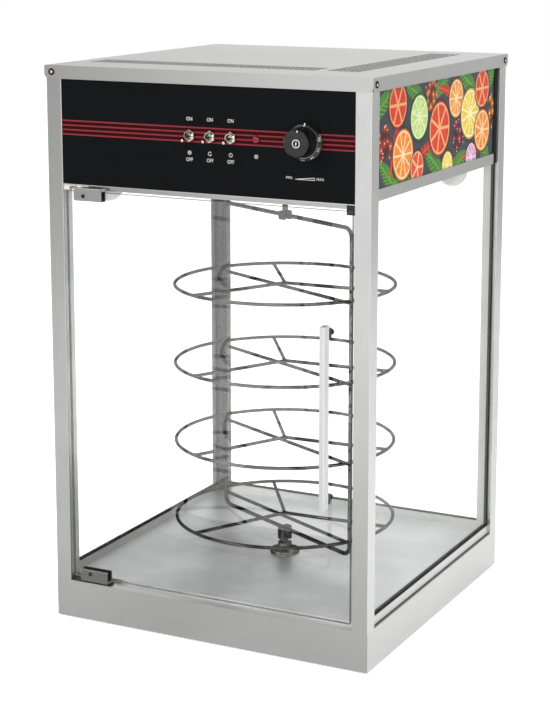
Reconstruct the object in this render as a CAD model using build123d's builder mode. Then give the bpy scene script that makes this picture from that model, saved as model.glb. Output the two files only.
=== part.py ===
"""Rotating hot food display case: a glass cabinet with a heated floor, a turning four-tier wire rack and a
hinged glass door. Millimetres, +Z up, front towards -Y, origin on the stand plane under the turntable axis."""

import os

from build123d import *

os.makedirs("parts", exist_ok=True)

# ---------------------------------------------------------------- driving dimensions
body_width = 480.0  # across X, over the corner posts
body_depth = 480.0  # across Y, over the corner posts
body_height = 780.0  # stand plane to lid top
sheet = 1.2  # stainless sheet
mitre_gap = 0.15  # the base's sides are shortened by this at each mitre
fit_gap = 0.3  # clearance between pieces that slide together
run_gap = 0.05  # radial clearance of a running fit
hole_gap = 0.2  # radial clearance of a screw or bush in its hole

base_height = 56.0  # stand plane to deck
skirt_lift = 2.0  # the feet stand this far below the skirt
sill_depth = 22.0  # deck in front of the floor plate
deck_width = 30.0  # deck ring under posts and channels
cover_lift = 8.0  # underside of the bottom cover
cover_lip = 12.0  # upturned edge of the bottom cover
cover_slots = 9  # air slots in each of two rows
cover_slot_pitch = 16.0
cover_slot_spread = 60.0  # between the two rows
cover_slot_length = 40.0
cover_slot_width = 4.0
foot_radius = 12.0
foot_taper = 4.0  # degrees
foot_plug = 4.0  # radius of the plug pressed through the cover
foot_plug_proud = 2.0
foot_inset = 40.0

post_side = 23.0
post_wall = 1.5
post_round = 0.8

lid_height = 18.0
lid_overhang = 2.0
lid_relief = 5.0  # cut corner of each flange
lid_screw_inset = 11.5  # from the flange's end
lid_screw_radius = 1.8
lid_screw_length = 8.0
washer_radius = 4.4
washer_height = 0.9
screw_head_radius = 2.9
screw_head_height = 0.9
screw_head_slope = 0.6
vent_pitch = 8.0
vent_hole = 6.4
vent_rows = 6
side_vent_inset = 76.0  # centre line of the side vent strip from the cabinet's right side
side_vent_front = 79.0  # first row of its holes from the cabinet's front
side_vent_back = 49.0  # last row from the cabinet's rear
vent_strip_gap = 22.0  # between the hole centres of the two strips
front_vent_left = 26.0  # first column of its holes from the cabinet's left side
front_vent_inset = 95.0  # centre line of the front vent strip from the cabinet's front

glass_thick = 4.0
glass_recess = 6.0  # outer glass face behind the posts' outer faces
gasket_wall = 1.0
gasket_proud = 2.0  # gasket stands above its channel
channel_wall = 1.0
channel_height = 12.0
strip_height = 1.5  # sealing strip under the channel
seal_width = 4.0  # upright seal at the rear edge of a side glass
head_seal_width = 11.0  # its wider part beside the head rail

floor_rise = 3.0  # floor plate top above the deck
lip_height = 1.2  # front lip above the floor plate

head_height = 158.0  # lid top to the underside of rails and ceiling
rail_height = 15.0
rail_groove = 8.0  # depth of the groove over the glass
groove_end_gap = 1.0  # glass ends this far below the groove's floor
panel_groove = 5.5  # picture panel enters the rail this far
panel_thick = 1.5
panel_recess = 5.5  # picture panel behind the posts' outer faces
panel_top_gap = 2.0  # under the lid

control_recess = 0.5
control_thick = 1.5
control_drop = 1.5  # control panel reaches this far below the ceiling
head_strip_height = 9.0
head_strip_recess = 16.0
head_strip_tail = 1.0  # head strip ends this far behind the posts' rear faces
back_slots = 17
back_slot_pitch = 12.0
back_slot_length = 60.0
back_slot_width = 4.0
ceiling_slots = 11  # warm air slots in each of two rows
ceiling_slot_pitch = 14.0
ceiling_slot_spread = 240.0
ceiling_slot_length = 50.0
ceiling_slot_width = 5.0

door_thick = 5.0
door_recess = 2.0
door_side_gap = 3.5
door_lift = 8.0  # door glass above the deck
door_head_gap = 9.5  # door glass below the control panel
hinge_inset = 48.0  # pivot axis from the cabinet's left side
clamp_tail = 7.0  # clamp beyond the axis
clamp_length = 43.0
clamp_height = 17.0
clamp_plate = 3.0
clamp_web = 4.0
liner = 1.0
liner_proud = 0.8
clamp_round = 0.8
clamp_screw = 1.5
clamp_screw_offset = 8.0  # right of the pivot axis
clamp_screw_inset = 6.0
pivot_radius = 3.0
pivot_plate = 2.0
pivot_plate_length = 62.0
pivot_plate_depth = 9.0
pivot_collar = 5.0
pivot_tab = 8.7
catch_width = 14.0
catch_height = 14.0

handle_inset = 32.0  # handle centre from the door's right edge
handle_width = 7.5
handle_depth = 15.0
handle_lift = 157.0  # handle end above the glass's lower edge
handle_length = 242.5
handle_round = 1.2
standoff_tall = 14.0
standoff_round = 1.0
standoff_length = 6.5
standoff_inset = 11.0
standoff_stud = 2.5
standoff_nut = 3.0
standoff_nut_radius = 4.0

ring_radius = 158.0
ring_wire = 5.0
spoke_wire = 5.0
frame_wire = 6.0
bar_wire = 5.0
shelf_pitch = 114.5
shelf_count = 4
lowest_shelf_rise = 23.0  # lowest shelf above the frame's bottom wire
rack_angle = -27.0  # plan angle of the frame
frame_lift = 35.0  # frame's bottom wire above the floor plate
frame_headroom = 63.0  # frame's top wire below the ceiling
frame_bend = 14.0
wire_gap = 0.15  # between wires of different pieces

shaft_radius = 4.5
shaft_depth = 27.8  # drive shaft below the floor sheet
fork_width = 18.0
fork_depth = 13.0
fork_drop = 16.0  # fork below the wire
fork_rise = 3.0  # fork above the wire
flange_radius = 21.5
flange_thick = 4.0
boss_radius = 10.0
boss_height = 14.0
flange_pcd = 31.0
flange_screw = 2.0
flange_screw_head = 3.8
pivot_pin_radius = 4.0
pivot_pin_rise = 23.0  # pin above the ceiling's underside
socket_width = 17.0
socket_depth = 12.0
bush_flange_radius = 15.0
bush_flange_thick = 3.0
bush_radius = 8.0
bush_rise = 15.0  # bush above the ceiling's underside

motor_radius = 30.0
motor_plate = 72.0
motor_plate_thick = 3.0
motor_plate_round = 6.0
motor_height = 34.0
motor_box = 22.0
flange_screw_length = 16.0
heater_radius = 4.0
heater_half = 150.0
heater_bend = 40.0
heater_drop = 8.0  # tube centre under the floor sheet
bracket_length = 12.0
bracket_width = 16.0
bracket_wall = 2.0

lamp_inset_x = 55.0  # lamp centre from the cabinet's side
lamp_inset_y = 65.0
bulb_radius = 21.0
bulb_drop = 32.0  # bulb below the ceiling
bulb_neck = 12.0
bulb_seat_gap = 1.0
lamp_hole = 25.0
holder_radius = 16.0
holder_height = 34.0
holder_lift = 16.0
holder_leg = 6.0
bridge_margin = 2.0  # holder bridge beyond the holder

switch_x = 10.5  # middle switch
switch_pitch = 30.4
switch_rise = 75.0  # above the control panel's lower edge
switch_width = 13.0
switch_tall = 22.0
switch_deep = 26.0
bush_outer = 6.0
bush_bore = 3.9
bush_proud = 5.5
nut_flats = 14.5
nut_thick = 2.5
lever_ball = 3.3
lever_length = 21.0
lever_root = 1.5
lever_tip = 2.4
lever_tilt = 12.5  # lever below level when off
lever_depth = 1.5  # ball centre behind the panel face

pilot_x = 78.0
pilot_rise = 75.0
pilot_radius = 4.0
pilot_shoulder = 1.0
jewel_radius = 5.2
jewel_proud = 4.0
pilot_deep = 16.0

knob_x = 147.0
knob_rise = 75.5
skirt_radius = 25.5
skirt_thick = 5.0
skirt_taper = 22.0  # degrees
cap_radius = 19.0
cap_taper = 2.0  # degrees
cap_round = 2.0
knob_length = 24.5
knob_gap = 1.0
spindle_radius = 3.0
spindle_depth = 14.0
thermostat_side = 44.0
thermostat_deep = 30.0
thermostat_round = 3.0
neck_radius = 5.0

gland_inset = 90.0  # gland centre from the cabinet's left side
gland_drop = 22.0  # gland centre below the deck
gland_proud = 28.0
gland_radius = 9.0
gland_hex = 22.0
gland_bore = 4.0
gland_nut = 6.0
gland_round = 3.6
terminal_length = 48.0
terminal_width = 20.0
terminal_height = 14.0
terminal_inset = 60.0
terminal_poles = 4
terminal_hole = 2.5
terminal_hole_depth = 4.7

# ---------------------------------------------------------------- derived places
half_w = body_width / 2
half_d = body_depth / 2
post_x = half_w - post_side / 2
post_y = half_d - post_side / 2
post_in_x = half_w - post_side
post_in_y = half_d - post_side
deck = base_height
head_bottom = body_height - head_height
control_bottom = head_bottom - control_drop
door_bottom = deck + door_lift
door_top = control_bottom - door_head_gap
lid_under = body_height - sheet
lid_edge = body_height - lid_height
head_top = lid_under - panel_top_gap
floor_top = deck + floor_rise
floor_under = floor_top - sheet
channel_width = glass_thick + 2 * gasket_wall + 2 * channel_wall
channel_bottom = deck + strip_height
glass_bottom = channel_bottom + channel_wall + gasket_wall
glass_top = head_bottom + rail_groove - groove_end_gap
gasket_top = channel_bottom + channel_height + gasket_proud
glass_offset = glass_recess + glass_thick / 2  # glass mid-plane behind the outer faces
channel_in = glass_offset + channel_width / 2
rail_top = head_bottom + rail_height
panel_offset = panel_recess + panel_thick / 2
panel_bottom = rail_top - panel_groove
floor_half_w = half_w - channel_in
floor_back = half_d - channel_in
floor_front = -half_d + sill_depth
ceiling_top = head_bottom + sheet
control_face = -half_d + control_recess
control_back = control_face + control_thick
door_face = -half_d + door_recess
door_back = door_face + door_thick
door_mid = (door_face + door_back) / 2
door_left = -post_in_x + door_side_gap
door_right = post_in_x - door_side_gap
handle_x = door_right - handle_inset
handle_bottom = door_bottom + handle_lift
hinge_x = -half_w + hinge_inset
clamp_screw_x = hinge_x + clamp_screw_offset
clamp_left = hinge_x - clamp_tail
clamp_cavity = door_thick + 2 * liner
clamp_depth = clamp_cavity + 2 * clamp_plate
clamp_top = door_top + liner + clamp_web
clamp_foot = door_bottom - liner - clamp_web
frame_bottom = floor_top + frame_lift
frame_top = head_bottom - frame_headroom
lowest_shelf = frame_bottom + lowest_shelf_rise
shaft_bottom = floor_under - shaft_depth
frame_radius = ring_radius - (ring_wire + frame_wire) / 2 - wire_gap
switch_z = control_bottom + switch_rise
pilot_z = control_bottom + pilot_rise
knob_z = control_bottom + knob_rise
lamp_x = half_w - lamp_inset_x
lamp_y = half_d - lamp_inset_y
bulb_bottom = head_bottom - bulb_drop
pivot_pin_top = head_bottom + pivot_pin_rise
bush_top = head_bottom + bush_rise
side_vent_x = half_w - side_vent_inset
side_vent_count = int((body_depth - side_vent_front - side_vent_back) / vent_pitch) + 1
side_vent_y = -half_d + side_vent_front + (side_vent_count - 1) / 2 * vent_pitch
front_vent_end = side_vent_x - (vent_rows - 1) / 2 * vent_pitch - vent_strip_gap
front_vent_count = int((front_vent_end - front_vent_left + half_w) / vent_pitch) + 1
front_vent_x = -half_w + front_vent_left + (front_vent_count - 1) / 2 * vent_pitch
front_vent_y = front_vent_inset - half_d
gland_x = -half_w + gland_inset
gland_z = deck - gland_drop
lid_screw_z = lid_edge + lid_height / 2
lid_screw_x = half_w + lid_overhang - lid_screw_inset
lid_screw_y = half_d + lid_overhang - lid_screw_inset
lid_screw_places = [
    Location((-lid_screw_x, -half_d - lid_overhang, lid_screw_z), (90, 0, 0)),
    Location((lid_screw_x, half_d + lid_overhang, lid_screw_z), (-90, 0, 0)),
    Location((half_w + lid_overhang, -lid_screw_y, lid_screw_z), (0, 90, 0)),
    Location((half_w + lid_overhang, lid_screw_y, lid_screw_z), (0, 90, 0)),
    Location((-half_w - lid_overhang, -lid_screw_y, lid_screw_z), (0, -90, 0)),
    Location((-half_w - lid_overhang, lid_screw_y, lid_screw_z), (0, -90, 0)),
]


def write(piece, name):
    """Label a finished piece and save it as its own STEP file."""
    piece.label = name
    export_step(piece, f"parts/{name}.step")


def wall_plane(side, start, stop):
    """Profile plane of a piece that runs along a wall from start to stop.

    Local x points out of the cabinet, local y is up, and the piece is extruded by stop - start.
    """
    if side == "back":
        return Plane(origin=(start, 0, 0), x_dir=(0, 1, 0), z_dir=(1, 0, 0))
    if side == "left":
        return Plane(origin=(0, start, 0), x_dir=(-1, 0, 0), z_dir=(0, 1, 0))
    return Plane(origin=(0, stop, 0), x_dir=(1, 0, 0), z_dir=(0, -1, 0))


def notched_plate(height, half_width, front, back, inset):
    """Outline of a plate that fills the cabinet and is notched for the corner posts."""
    with BuildSketch(Plane.XY.offset(height)) as outline:
        with Locations((0, (front + back) / 2)):
            Rectangle(2 * (half_width - inset), back - front - 2 * inset)
        with GridLocations(2 * post_x, 2 * post_y, 2, 2):
            notch = post_side + 2 * (fit_gap + inset)
            Rectangle(notch, notch, mode=Mode.SUBTRACT)
    return outline.sketch


def span(low_x, high_x, low_y, high_y, mode=Mode.ADD):
    """Rectangle between two corners, for profiles."""
    with Locations(((low_x + high_x) / 2, (low_y + high_y) / 2)):
        Rectangle(high_x - low_x, high_y - low_y, mode=mode)


# ---------------------------------------------------------------- base
def mitred_strip(height, turn, run, reach, width):
    """Strip inside one side of the base, cut at 45 degrees where it meets the next sides."""
    with BuildSketch(Plane.XY.offset(height)) as strip:
        with Locations(Location((0, 0, 0), (0, 0, turn))):
            with Locations((0, width / 2 - reach)):
                Trapezoid(run - 2 * mitre_gap, width, 45)
    return strip.sketch


# Each side of the base is an angle: an upright skirt with a deck folded in at its top.
base_sides = {
    "front_skirt": (0, body_width, half_d),
    "right_skirt": (90, body_depth, half_w),
    "back_skirt": (180, body_width, half_d),
    "left_skirt": (270, body_depth, half_w),
}
for skirt_name, (turn, run, reach) in base_sides.items():
    with BuildPart() as skirt:
        extrude(mitred_strip(skirt_lift, turn, run, reach, sheet), amount=deck - skirt_lift)
        extrude(mitred_strip(deck - sheet, turn, run, reach, deck_width), amount=sheet)
        if skirt_name == "back_skirt":
            with BuildSketch(Plane.XZ.offset(-half_d)):
                with Locations((gland_x, gland_z)):
                    Circle(gland_radius + hole_gap)
            extrude(amount=2 * sheet, mode=Mode.SUBTRACT)
    write(skirt.part, skirt_name)

cover_half_w = half_w - sheet - fit_gap
cover_half_d = half_d - sheet - fit_gap
with BuildPart() as bottom_cover:
    with BuildSketch(Plane.XY.offset(cover_lift)):
        Rectangle(2 * cover_half_w, 2 * cover_half_d)
        with GridLocations(cover_slot_pitch, cover_slot_spread, cover_slots, 2):
            SlotOverall(cover_slot_length, cover_slot_width, rotation=90, mode=Mode.SUBTRACT)
    extrude(amount=sheet)
    with BuildSketch(Plane.XY.offset(cover_lift)):
        Rectangle(2 * cover_half_w, 2 * cover_half_d)
        Rectangle(2 * (cover_half_w - sheet), 2 * (cover_half_d - sheet), mode=Mode.SUBTRACT)
    extrude(amount=cover_lip)
    with BuildSketch(Plane.XY.offset(cover_lift)):
        with GridLocations(2 * (half_w - foot_inset), 2 * (half_d - foot_inset), 2, 2):
            Circle(foot_plug + hole_gap)
    extrude(amount=sheet, mode=Mode.SUBTRACT)
write(bottom_cover.part, "bottom_cover")

with BuildPart() as rubber_feet:
    with BuildSketch():
        with GridLocations(2 * (half_w - foot_inset), 2 * (half_d - foot_inset), 2, 2):
            Circle(foot_radius)
    extrude(amount=cover_lift, taper=foot_taper)
    with BuildSketch(Plane.XY.offset(cover_lift)):
        with GridLocations(2 * (half_w - foot_inset), 2 * (half_d - foot_inset), 2, 2):
            Circle(foot_plug)
    extrude(amount=sheet + foot_plug_proud)
write(rubber_feet.part, "rubber_feet")

# ---------------------------------------------------------------- corner posts
corners = {
    "post_front_left": (-post_x, -post_y),
    "post_front_right": (post_x, -post_y),
    "post_back_left": (-post_x, post_y),
    "post_back_right": (post_x, post_y),
}
for post_name, (corner_x, corner_y) in corners.items():
    with BuildPart() as post:
        with BuildSketch(Plane.XY.offset(deck)):
            with Locations((corner_x, corner_y)):
                RectangleRounded(post_side, post_side, post_round)
                Rectangle(post_side - 2 * post_wall, post_side - 2 * post_wall, mode=Mode.SUBTRACT)
        extrude(amount=lid_under - deck)
        for screw_place in lid_screw_places:
            with Locations(screw_place):
                Cylinder(lid_screw_radius + hole_gap, 2 * lid_screw_length, mode=Mode.SUBTRACT)
    write(post.part, post_name)

# ---------------------------------------------------------------- floor
with BuildPart() as floor_plate:
    extrude(notched_plate(deck, floor_half_w, floor_front, floor_back, 0), amount=floor_rise)
    extrude(
        notched_plate(deck, floor_half_w, floor_front, floor_back, sheet),
        amount=floor_rise - sheet,
        mode=Mode.SUBTRACT,
    )
    with BuildSketch(Plane.XY.offset(floor_top)):
        with Locations((0, floor_front + sheet)):
            Rectangle(2 * (post_in_x - fit_gap), 2 * sheet)
    extrude(amount=lip_height)
    with BuildSketch(Plane.XY.offset(floor_under)):
        Circle(boss_radius)
        with PolarLocations(flange_pcd / 2, 3, start_angle=90):
            Circle(flange_screw + hole_gap)
    extrude(amount=sheet, mode=Mode.SUBTRACT)
write(floor_plate.part, "floor_plate")

# ---------------------------------------------------------------- glass walls
wall_runs = {
    "left": (half_w, -post_in_y, post_in_y),
    "right": (half_w, -post_in_y, post_in_y),
    "back": (half_d, -post_in_x, post_in_x),
}
for side, (reach, start, stop) in wall_runs.items():
    middle = reach - glass_offset
    rear_gap = fit_gap if side == "back" else seal_width
    with BuildPart() as pane:
        with BuildSketch(wall_plane(side, start + fit_gap, stop - rear_gap)):
            span(middle - glass_thick / 2, middle + glass_thick / 2, glass_bottom, glass_top)
        extrude(amount=stop - start - fit_gap - rear_gap)
    write(pane.part, f"{side}_glass")

    with BuildPart() as channel:
        with BuildSketch(wall_plane(side, start, stop)):
            with Locations((middle, channel_bottom + channel_height / 2)):
                Rectangle(channel_width, channel_height)
            with Locations((middle, channel_bottom + channel_height / 2 + channel_wall)):
                Rectangle(channel_width - 2 * channel_wall, channel_height, mode=Mode.SUBTRACT)
        extrude(amount=stop - start)
    write(channel.part, f"{side}_glass_channel")

with BuildPart() as glass_gaskets:
    for side, (reach, start, stop) in wall_runs.items():
        middle = reach - glass_offset
        half_glass = glass_thick / 2
        half_gasket = half_glass + gasket_wall
        with BuildSketch(wall_plane(side, start, stop)):
            span(middle - half_gasket, middle + half_gasket, channel_bottom + channel_wall, gasket_top)
            span(middle - half_glass, middle + half_glass, glass_bottom, gasket_top, Mode.SUBTRACT)
            span(middle - half_glass, middle + half_glass, deck, channel_bottom)
        extrude(amount=stop - start)
        if side != "back":
            with BuildSketch(wall_plane(side, stop - seal_width, stop)):
                span(middle - half_glass, middle + half_glass, glass_bottom, head_bottom)
            extrude(amount=seal_width)
            with BuildSketch(wall_plane(side, stop - head_seal_width, stop)):
                span(middle - half_gasket, middle + channel_width / 2, head_bottom, head_top)
            extrude(amount=head_seal_width)
            with BuildSketch(wall_plane(side, stop - head_seal_width, stop - seal_width)):
                span(middle - half_glass, middle + half_glass, head_bottom, glass_top)
            extrude(amount=head_seal_width - seal_width, mode=Mode.SUBTRACT)
write(glass_gaskets.part, "glass_gaskets")

# ---------------------------------------------------------------- head: rails and panels
for side in ("left", "right"):
    reach, start, wall_stop = wall_runs[side]
    stop = wall_stop - head_seal_width
    middle = reach - glass_offset
    panel_mid = reach - panel_offset
    with BuildPart() as rail:
        with BuildSketch(wall_plane(side, start, stop)):
            span(middle - channel_width / 2, middle + channel_width / 2, head_bottom, rail_top)
            with Locations((middle, head_bottom + rail_groove / 2)):
                Rectangle(glass_thick + 2 * fit_gap, rail_groove, mode=Mode.SUBTRACT)
            with Locations((panel_mid, rail_top - panel_groove / 2)):
                Rectangle(panel_thick + 2 * fit_gap, panel_groove, mode=Mode.SUBTRACT)
        extrude(amount=stop - start)
    write(rail.part, f"{side}_head_rail")

    with BuildPart() as picture:
        with BuildSketch(wall_plane(side, start + fit_gap, stop)):
            span(panel_mid - panel_thick / 2, panel_mid + panel_thick / 2, panel_bottom, head_top)
        extrude(amount=stop - start - fit_gap)
    write(picture.part, f"{side}_picture_panel")

back_middle = half_d - glass_offset
back_outer = back_middle + channel_width / 2
with BuildPart() as back_head_panel:
    with BuildSketch(wall_plane("back", -post_in_x, post_in_x)):
        span(back_outer - channel_width, back_outer, head_bottom, rail_top)
        span(back_outer - sheet, back_outer, rail_top, head_top)
        with Locations((back_middle, head_bottom + rail_groove / 2)):
            Rectangle(glass_thick + 2 * fit_gap, rail_groove, mode=Mode.SUBTRACT)
    extrude(amount=2 * post_in_x)
    with BuildSketch(Plane.XZ.offset(-half_d)):
        with Locations((0, (rail_top + lid_edge) / 2)):
            with GridLocations(back_slot_pitch, back_slot_pitch, back_slots, 1):
                SlotOverall(back_slot_length, back_slot_width, rotation=90)
    extrude(amount=2 * channel_width, mode=Mode.SUBTRACT)
write(back_head_panel.part, "back_head_panel")

strip_y = -half_d + head_strip_recess
strip_back = -post_in_y + head_strip_tail
strip_bottom = control_bottom - head_strip_height
with BuildPart() as front_head_rail:
    with BuildSketch(wall_plane("back", -post_in_x, post_in_x)):
        span(control_face, strip_back, control_bottom - sheet, control_bottom)
        span(strip_y, strip_y + sheet, strip_bottom, control_bottom)
        span(strip_y, strip_back, strip_bottom, strip_bottom + sheet)
    extrude(amount=2 * post_in_x)
write(front_head_rail.part, "front_head_rail")

switch_places = [(switch_x + step * switch_pitch, switch_z) for step in (-1, 0, 1)]
with BuildPart() as front_control_panel:
    with BuildSketch(Plane.XZ.offset(-control_back)):
        span(-post_in_x + fit_gap, post_in_x - fit_gap, control_bottom, head_top)
        with Locations(*switch_places):
            Circle(bush_outer + hole_gap, mode=Mode.SUBTRACT)
        with Locations((pilot_x, pilot_z)):
            Circle(pilot_radius + hole_gap, mode=Mode.SUBTRACT)
        with Locations((knob_x, knob_z)):
            Circle(neck_radius + hole_gap, mode=Mode.SUBTRACT)
    extrude(amount=control_thick)
write(front_control_panel.part, "front_control_panel")

lamp_places = [(lamp_x, lamp_y), (-lamp_x, -lamp_y)]
with BuildPart() as ceiling_panel:
    extrude(notched_plate(head_bottom, floor_half_w, strip_back, floor_back, 0), amount=sheet)
    with BuildSketch(Plane.XY.offset(head_bottom)):
        with Locations(*lamp_places):
            Circle(lamp_hole)
        Circle(bush_radius + hole_gap)
        with GridLocations(ceiling_slot_pitch, ceiling_slot_spread, ceiling_slots, 2):
            SlotOverall(ceiling_slot_length, ceiling_slot_width, rotation=90)
    extrude(amount=sheet, mode=Mode.SUBTRACT)
write(ceiling_panel.part, "ceiling_panel")

# ---------------------------------------------------------------- lid
lid_half_w = half_w + lid_overhang
lid_half_d = half_d + lid_overhang
with BuildPart() as lid:
    with BuildSketch(Plane.XY.offset(lid_edge)):
        Rectangle(2 * lid_half_w, 2 * lid_half_d)
        Rectangle(2 * (lid_half_w - sheet), 2 * (lid_half_d - sheet), mode=Mode.SUBTRACT)
    extrude(amount=lid_height - sheet)
    with BuildSketch(Plane.XY.offset(lid_under)):
        Rectangle(2 * lid_half_w, 2 * lid_half_d)
        with Locations((side_vent_x, side_vent_y)):
            with GridLocations(vent_pitch, vent_pitch, vent_rows, side_vent_count):
                Circle(vent_hole / 2, mode=Mode.SUBTRACT)
        with Locations((front_vent_x, front_vent_y)):
            with GridLocations(vent_pitch, vent_pitch, front_vent_count, vent_rows):
                Circle(vent_hole / 2, mode=Mode.SUBTRACT)
    extrude(amount=sheet)
    for across, along, turn in (
        (lid_half_w, lid_half_d, 0),
        (lid_half_w, lid_half_d, 180),
        (lid_half_d, lid_half_w, 90),
        (lid_half_d, lid_half_w, 270),
    ):
        with BuildSketch(Plane.XZ.rotated((0, 0, turn)).offset(along)):
            for end in (-1, 1):
                with BuildLine():
                    corner = (end * across, lid_edge)
                    inner = (end * (across - lid_relief), lid_edge)
                    upper = (end * across, lid_edge + lid_relief)
                    Polyline(corner, inner, upper, close=True)
                make_face()
        extrude(amount=-sheet, mode=Mode.SUBTRACT)
    for screw_place in lid_screw_places:
        with Locations(screw_place):
            Cylinder(lid_screw_radius + hole_gap, 4 * sheet, mode=Mode.SUBTRACT)
write(lid.part, "lid")

with BuildPart() as lid_screws:
    for screw_place in lid_screw_places:
        with Locations(screw_place):
            with Locations((0, 0, -lid_screw_length / 2)):
                Cylinder(lid_screw_radius, lid_screw_length)
            with Locations((0, 0, washer_height / 2)):
                Cone(washer_radius, washer_radius - washer_height, washer_height)
            with Locations((0, 0, washer_height + screw_head_height / 2)):
                Cone(screw_head_radius, screw_head_radius - screw_head_slope, screw_head_height)
write(lid_screws.part, "lid_screws")
# ---------------------------------------------------------------- drive under the floor
with BuildPart() as gear_motor:
    with BuildSketch(Plane.XY.offset(floor_under - motor_plate_thick)):
        RectangleRounded(motor_plate, motor_plate, motor_plate_round)
    extrude(amount=motor_plate_thick)
    with BuildSketch(Plane.XY.offset(floor_under - motor_plate_thick)):
        Circle(motor_radius)
        with Locations((motor_radius, 0)):
            Rectangle(motor_box, motor_box)
    extrude(amount=-motor_height)
    with BuildSketch(Plane.XY.offset(floor_under)):
        Circle(shaft_radius + run_gap)
    extrude(amount=-(floor_under - shaft_bottom + fit_gap), mode=Mode.SUBTRACT)
    with BuildSketch(Plane.XY.offset(floor_under)):
        with PolarLocations(flange_pcd / 2, 3, start_angle=90):
            Circle(flange_screw + hole_gap)
    extrude(amount=-flange_screw_length, mode=Mode.SUBTRACT)
write(gear_motor.part, "gear_motor")

with BuildPart() as bearing_flange:
    with BuildSketch(Plane.XY.offset(floor_top)):
        Circle(flange_radius)
    extrude(amount=flange_thick)
    fillet(bearing_flange.edges().group_by(Axis.Z)[-1], flange_thick / 4)
    with BuildSketch(Plane.XY.offset(floor_top + flange_thick)):
        Circle(boss_radius)
    extrude(amount=boss_height - flange_thick)
    with BuildSketch(Plane.XY.offset(floor_top)):
        Circle(boss_radius - hole_gap)
    extrude(amount=-sheet)
    with BuildSketch(Plane.XY.offset(floor_under)):
        Circle(shaft_radius + run_gap)
        with PolarLocations(flange_pcd / 2, 3, start_angle=90):
            Circle(flange_screw + hole_gap)
    extrude(amount=boss_height + sheet, mode=Mode.SUBTRACT)
write(bearing_flange.part, "bearing_flange")

with BuildPart() as flange_screws:
    with BuildSketch(Plane.XY.offset(floor_top + flange_thick)):
        with PolarLocations(flange_pcd / 2, 3, start_angle=90):
            Circle(flange_screw)
    extrude(amount=-(flange_screw_length - flange_screw))
    with BuildSketch(Plane.XY.offset(floor_top + flange_thick)):
        with PolarLocations(flange_pcd / 2, 3, start_angle=90):
            Circle(flange_screw_head)
    extrude(amount=flange_screw)
    fillet(flange_screws.edges().group_by(Axis.Z)[-1], flange_screw / 3)
write(flange_screws.part, "flange_screws")

heater_z = floor_under - heater_drop
with BuildPart() as heating_element:
    with BuildLine(Plane.XY.offset(heater_z)) as heater_path:
        FilletPolyline(
            (-heater_half / 4, -heater_half),
            (-heater_half, -heater_half),
            (-heater_half, heater_half),
            (heater_half, heater_half),
            (heater_half, -heater_half),
            (heater_half / 4, -heater_half),
            radius=heater_bend,
        )
    with BuildSketch(Plane(origin=heater_path.wire() @ 0, z_dir=heater_path.wire() % 0)):
        Circle(heater_radius)
    sweep(path=heater_path.wire())
write(heating_element.part, "heating_element")

bracket_places = [
    Location((-heater_half, 0, floor_under), (0, 0, 90)),
    Location((heater_half, 0, floor_under), (0, 0, 90)),
    Location((0, heater_half, floor_under)),
    Location((-heater_half / 2, -heater_half, floor_under)),
    Location((heater_half / 2, -heater_half, floor_under)),
]
with BuildPart() as heater_brackets:
    bracket_drop = heater_drop + heater_radius + bracket_wall
    for place in bracket_places:
        with Locations(place):
            with Locations((0, 0, -bracket_drop / 2)):
                Box(bracket_length, bracket_width, bracket_drop)
            with Locations(Location((0, 0, -heater_drop), (0, 90, 0))):
                Cylinder(heater_radius + run_gap, 2 * bracket_length, mode=Mode.SUBTRACT)
write(heater_brackets.part, "heater_brackets")

with BuildPart() as terminal_block:
    with BuildSketch(Plane.XY.offset(cover_lift + sheet)):
        with Locations((gland_x, half_d - terminal_inset)):
            Rectangle(terminal_length, terminal_width)
    extrude(amount=terminal_height)
    with BuildSketch(Plane.XY.offset(cover_lift + sheet + terminal_height)):
        with Locations((gland_x, half_d - terminal_inset)):
            with GridLocations(terminal_length / terminal_poles, terminal_width / 2, terminal_poles, 2):
                Circle(terminal_hole)
    extrude(amount=-terminal_hole_depth, mode=Mode.SUBTRACT)
write(terminal_block.part, "terminal_block")

gland_plane = Plane(origin=(gland_x, half_d, gland_z), x_dir=(-1, 0, 0), z_dir=(0, 1, 0))
with BuildPart() as cable_gland:
    with BuildSketch(gland_plane):
        RegularPolygon(gland_hex / 2, 6, major_radius=False)
    extrude(amount=gland_nut)
    with BuildSketch(gland_plane.offset(gland_nut)):
        Circle(gland_radius)
    extrude(amount=gland_proud - gland_nut)
    fillet(cable_gland.edges().group_by(Axis.Y)[-1], gland_round)
    with BuildSketch(gland_plane):
        Circle(gland_radius)
    extrude(amount=-(sheet + 2 * gland_nut))
    with BuildSketch(gland_plane.offset(-sheet)):
        RegularPolygon(gland_hex / 2, 6, major_radius=False)
    extrude(amount=-gland_nut)
    with BuildSketch(gland_plane.offset(gland_proud)):
        Circle(gland_bore)
    extrude(amount=-2 * gland_proud, mode=Mode.SUBTRACT)
write(cable_gland.part, "cable_gland")

# ---------------------------------------------------------------- lamps and top pivot
bridge_z = ceiling_top + holder_lift
bridge_width = 2 * lamp_hole + 3 * holder_leg
bridge_depth = 2 * (holder_radius + bridge_margin)
with BuildPart() as lamp_holders:
    for lamp_place in lamp_places:
        with BuildSketch(Plane.XY.offset(bridge_z)):
            with Locations(lamp_place):
                Rectangle(bridge_width, bridge_depth)
        extrude(amount=sheet)
        with BuildSketch(Plane.XY.offset(ceiling_top)):
            with Locations(lamp_place):
                with GridLocations(bridge_width - sheet, bridge_depth, 2, 1):
                    Rectangle(sheet, bridge_depth)
        extrude(amount=holder_lift)
        with BuildSketch(Plane.XY.offset(bridge_z + sheet)):
            with Locations(lamp_place):
                Circle(holder_radius)
        extrude(amount=holder_height)
        with BuildSketch(Plane.XY.offset(bridge_z)):
            with Locations(lamp_place):
                Circle(bulb_neck + hole_gap)
        extrude(amount=holder_height - holder_leg, mode=Mode.SUBTRACT)
write(lamp_holders.part, "lamp_holders")

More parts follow.
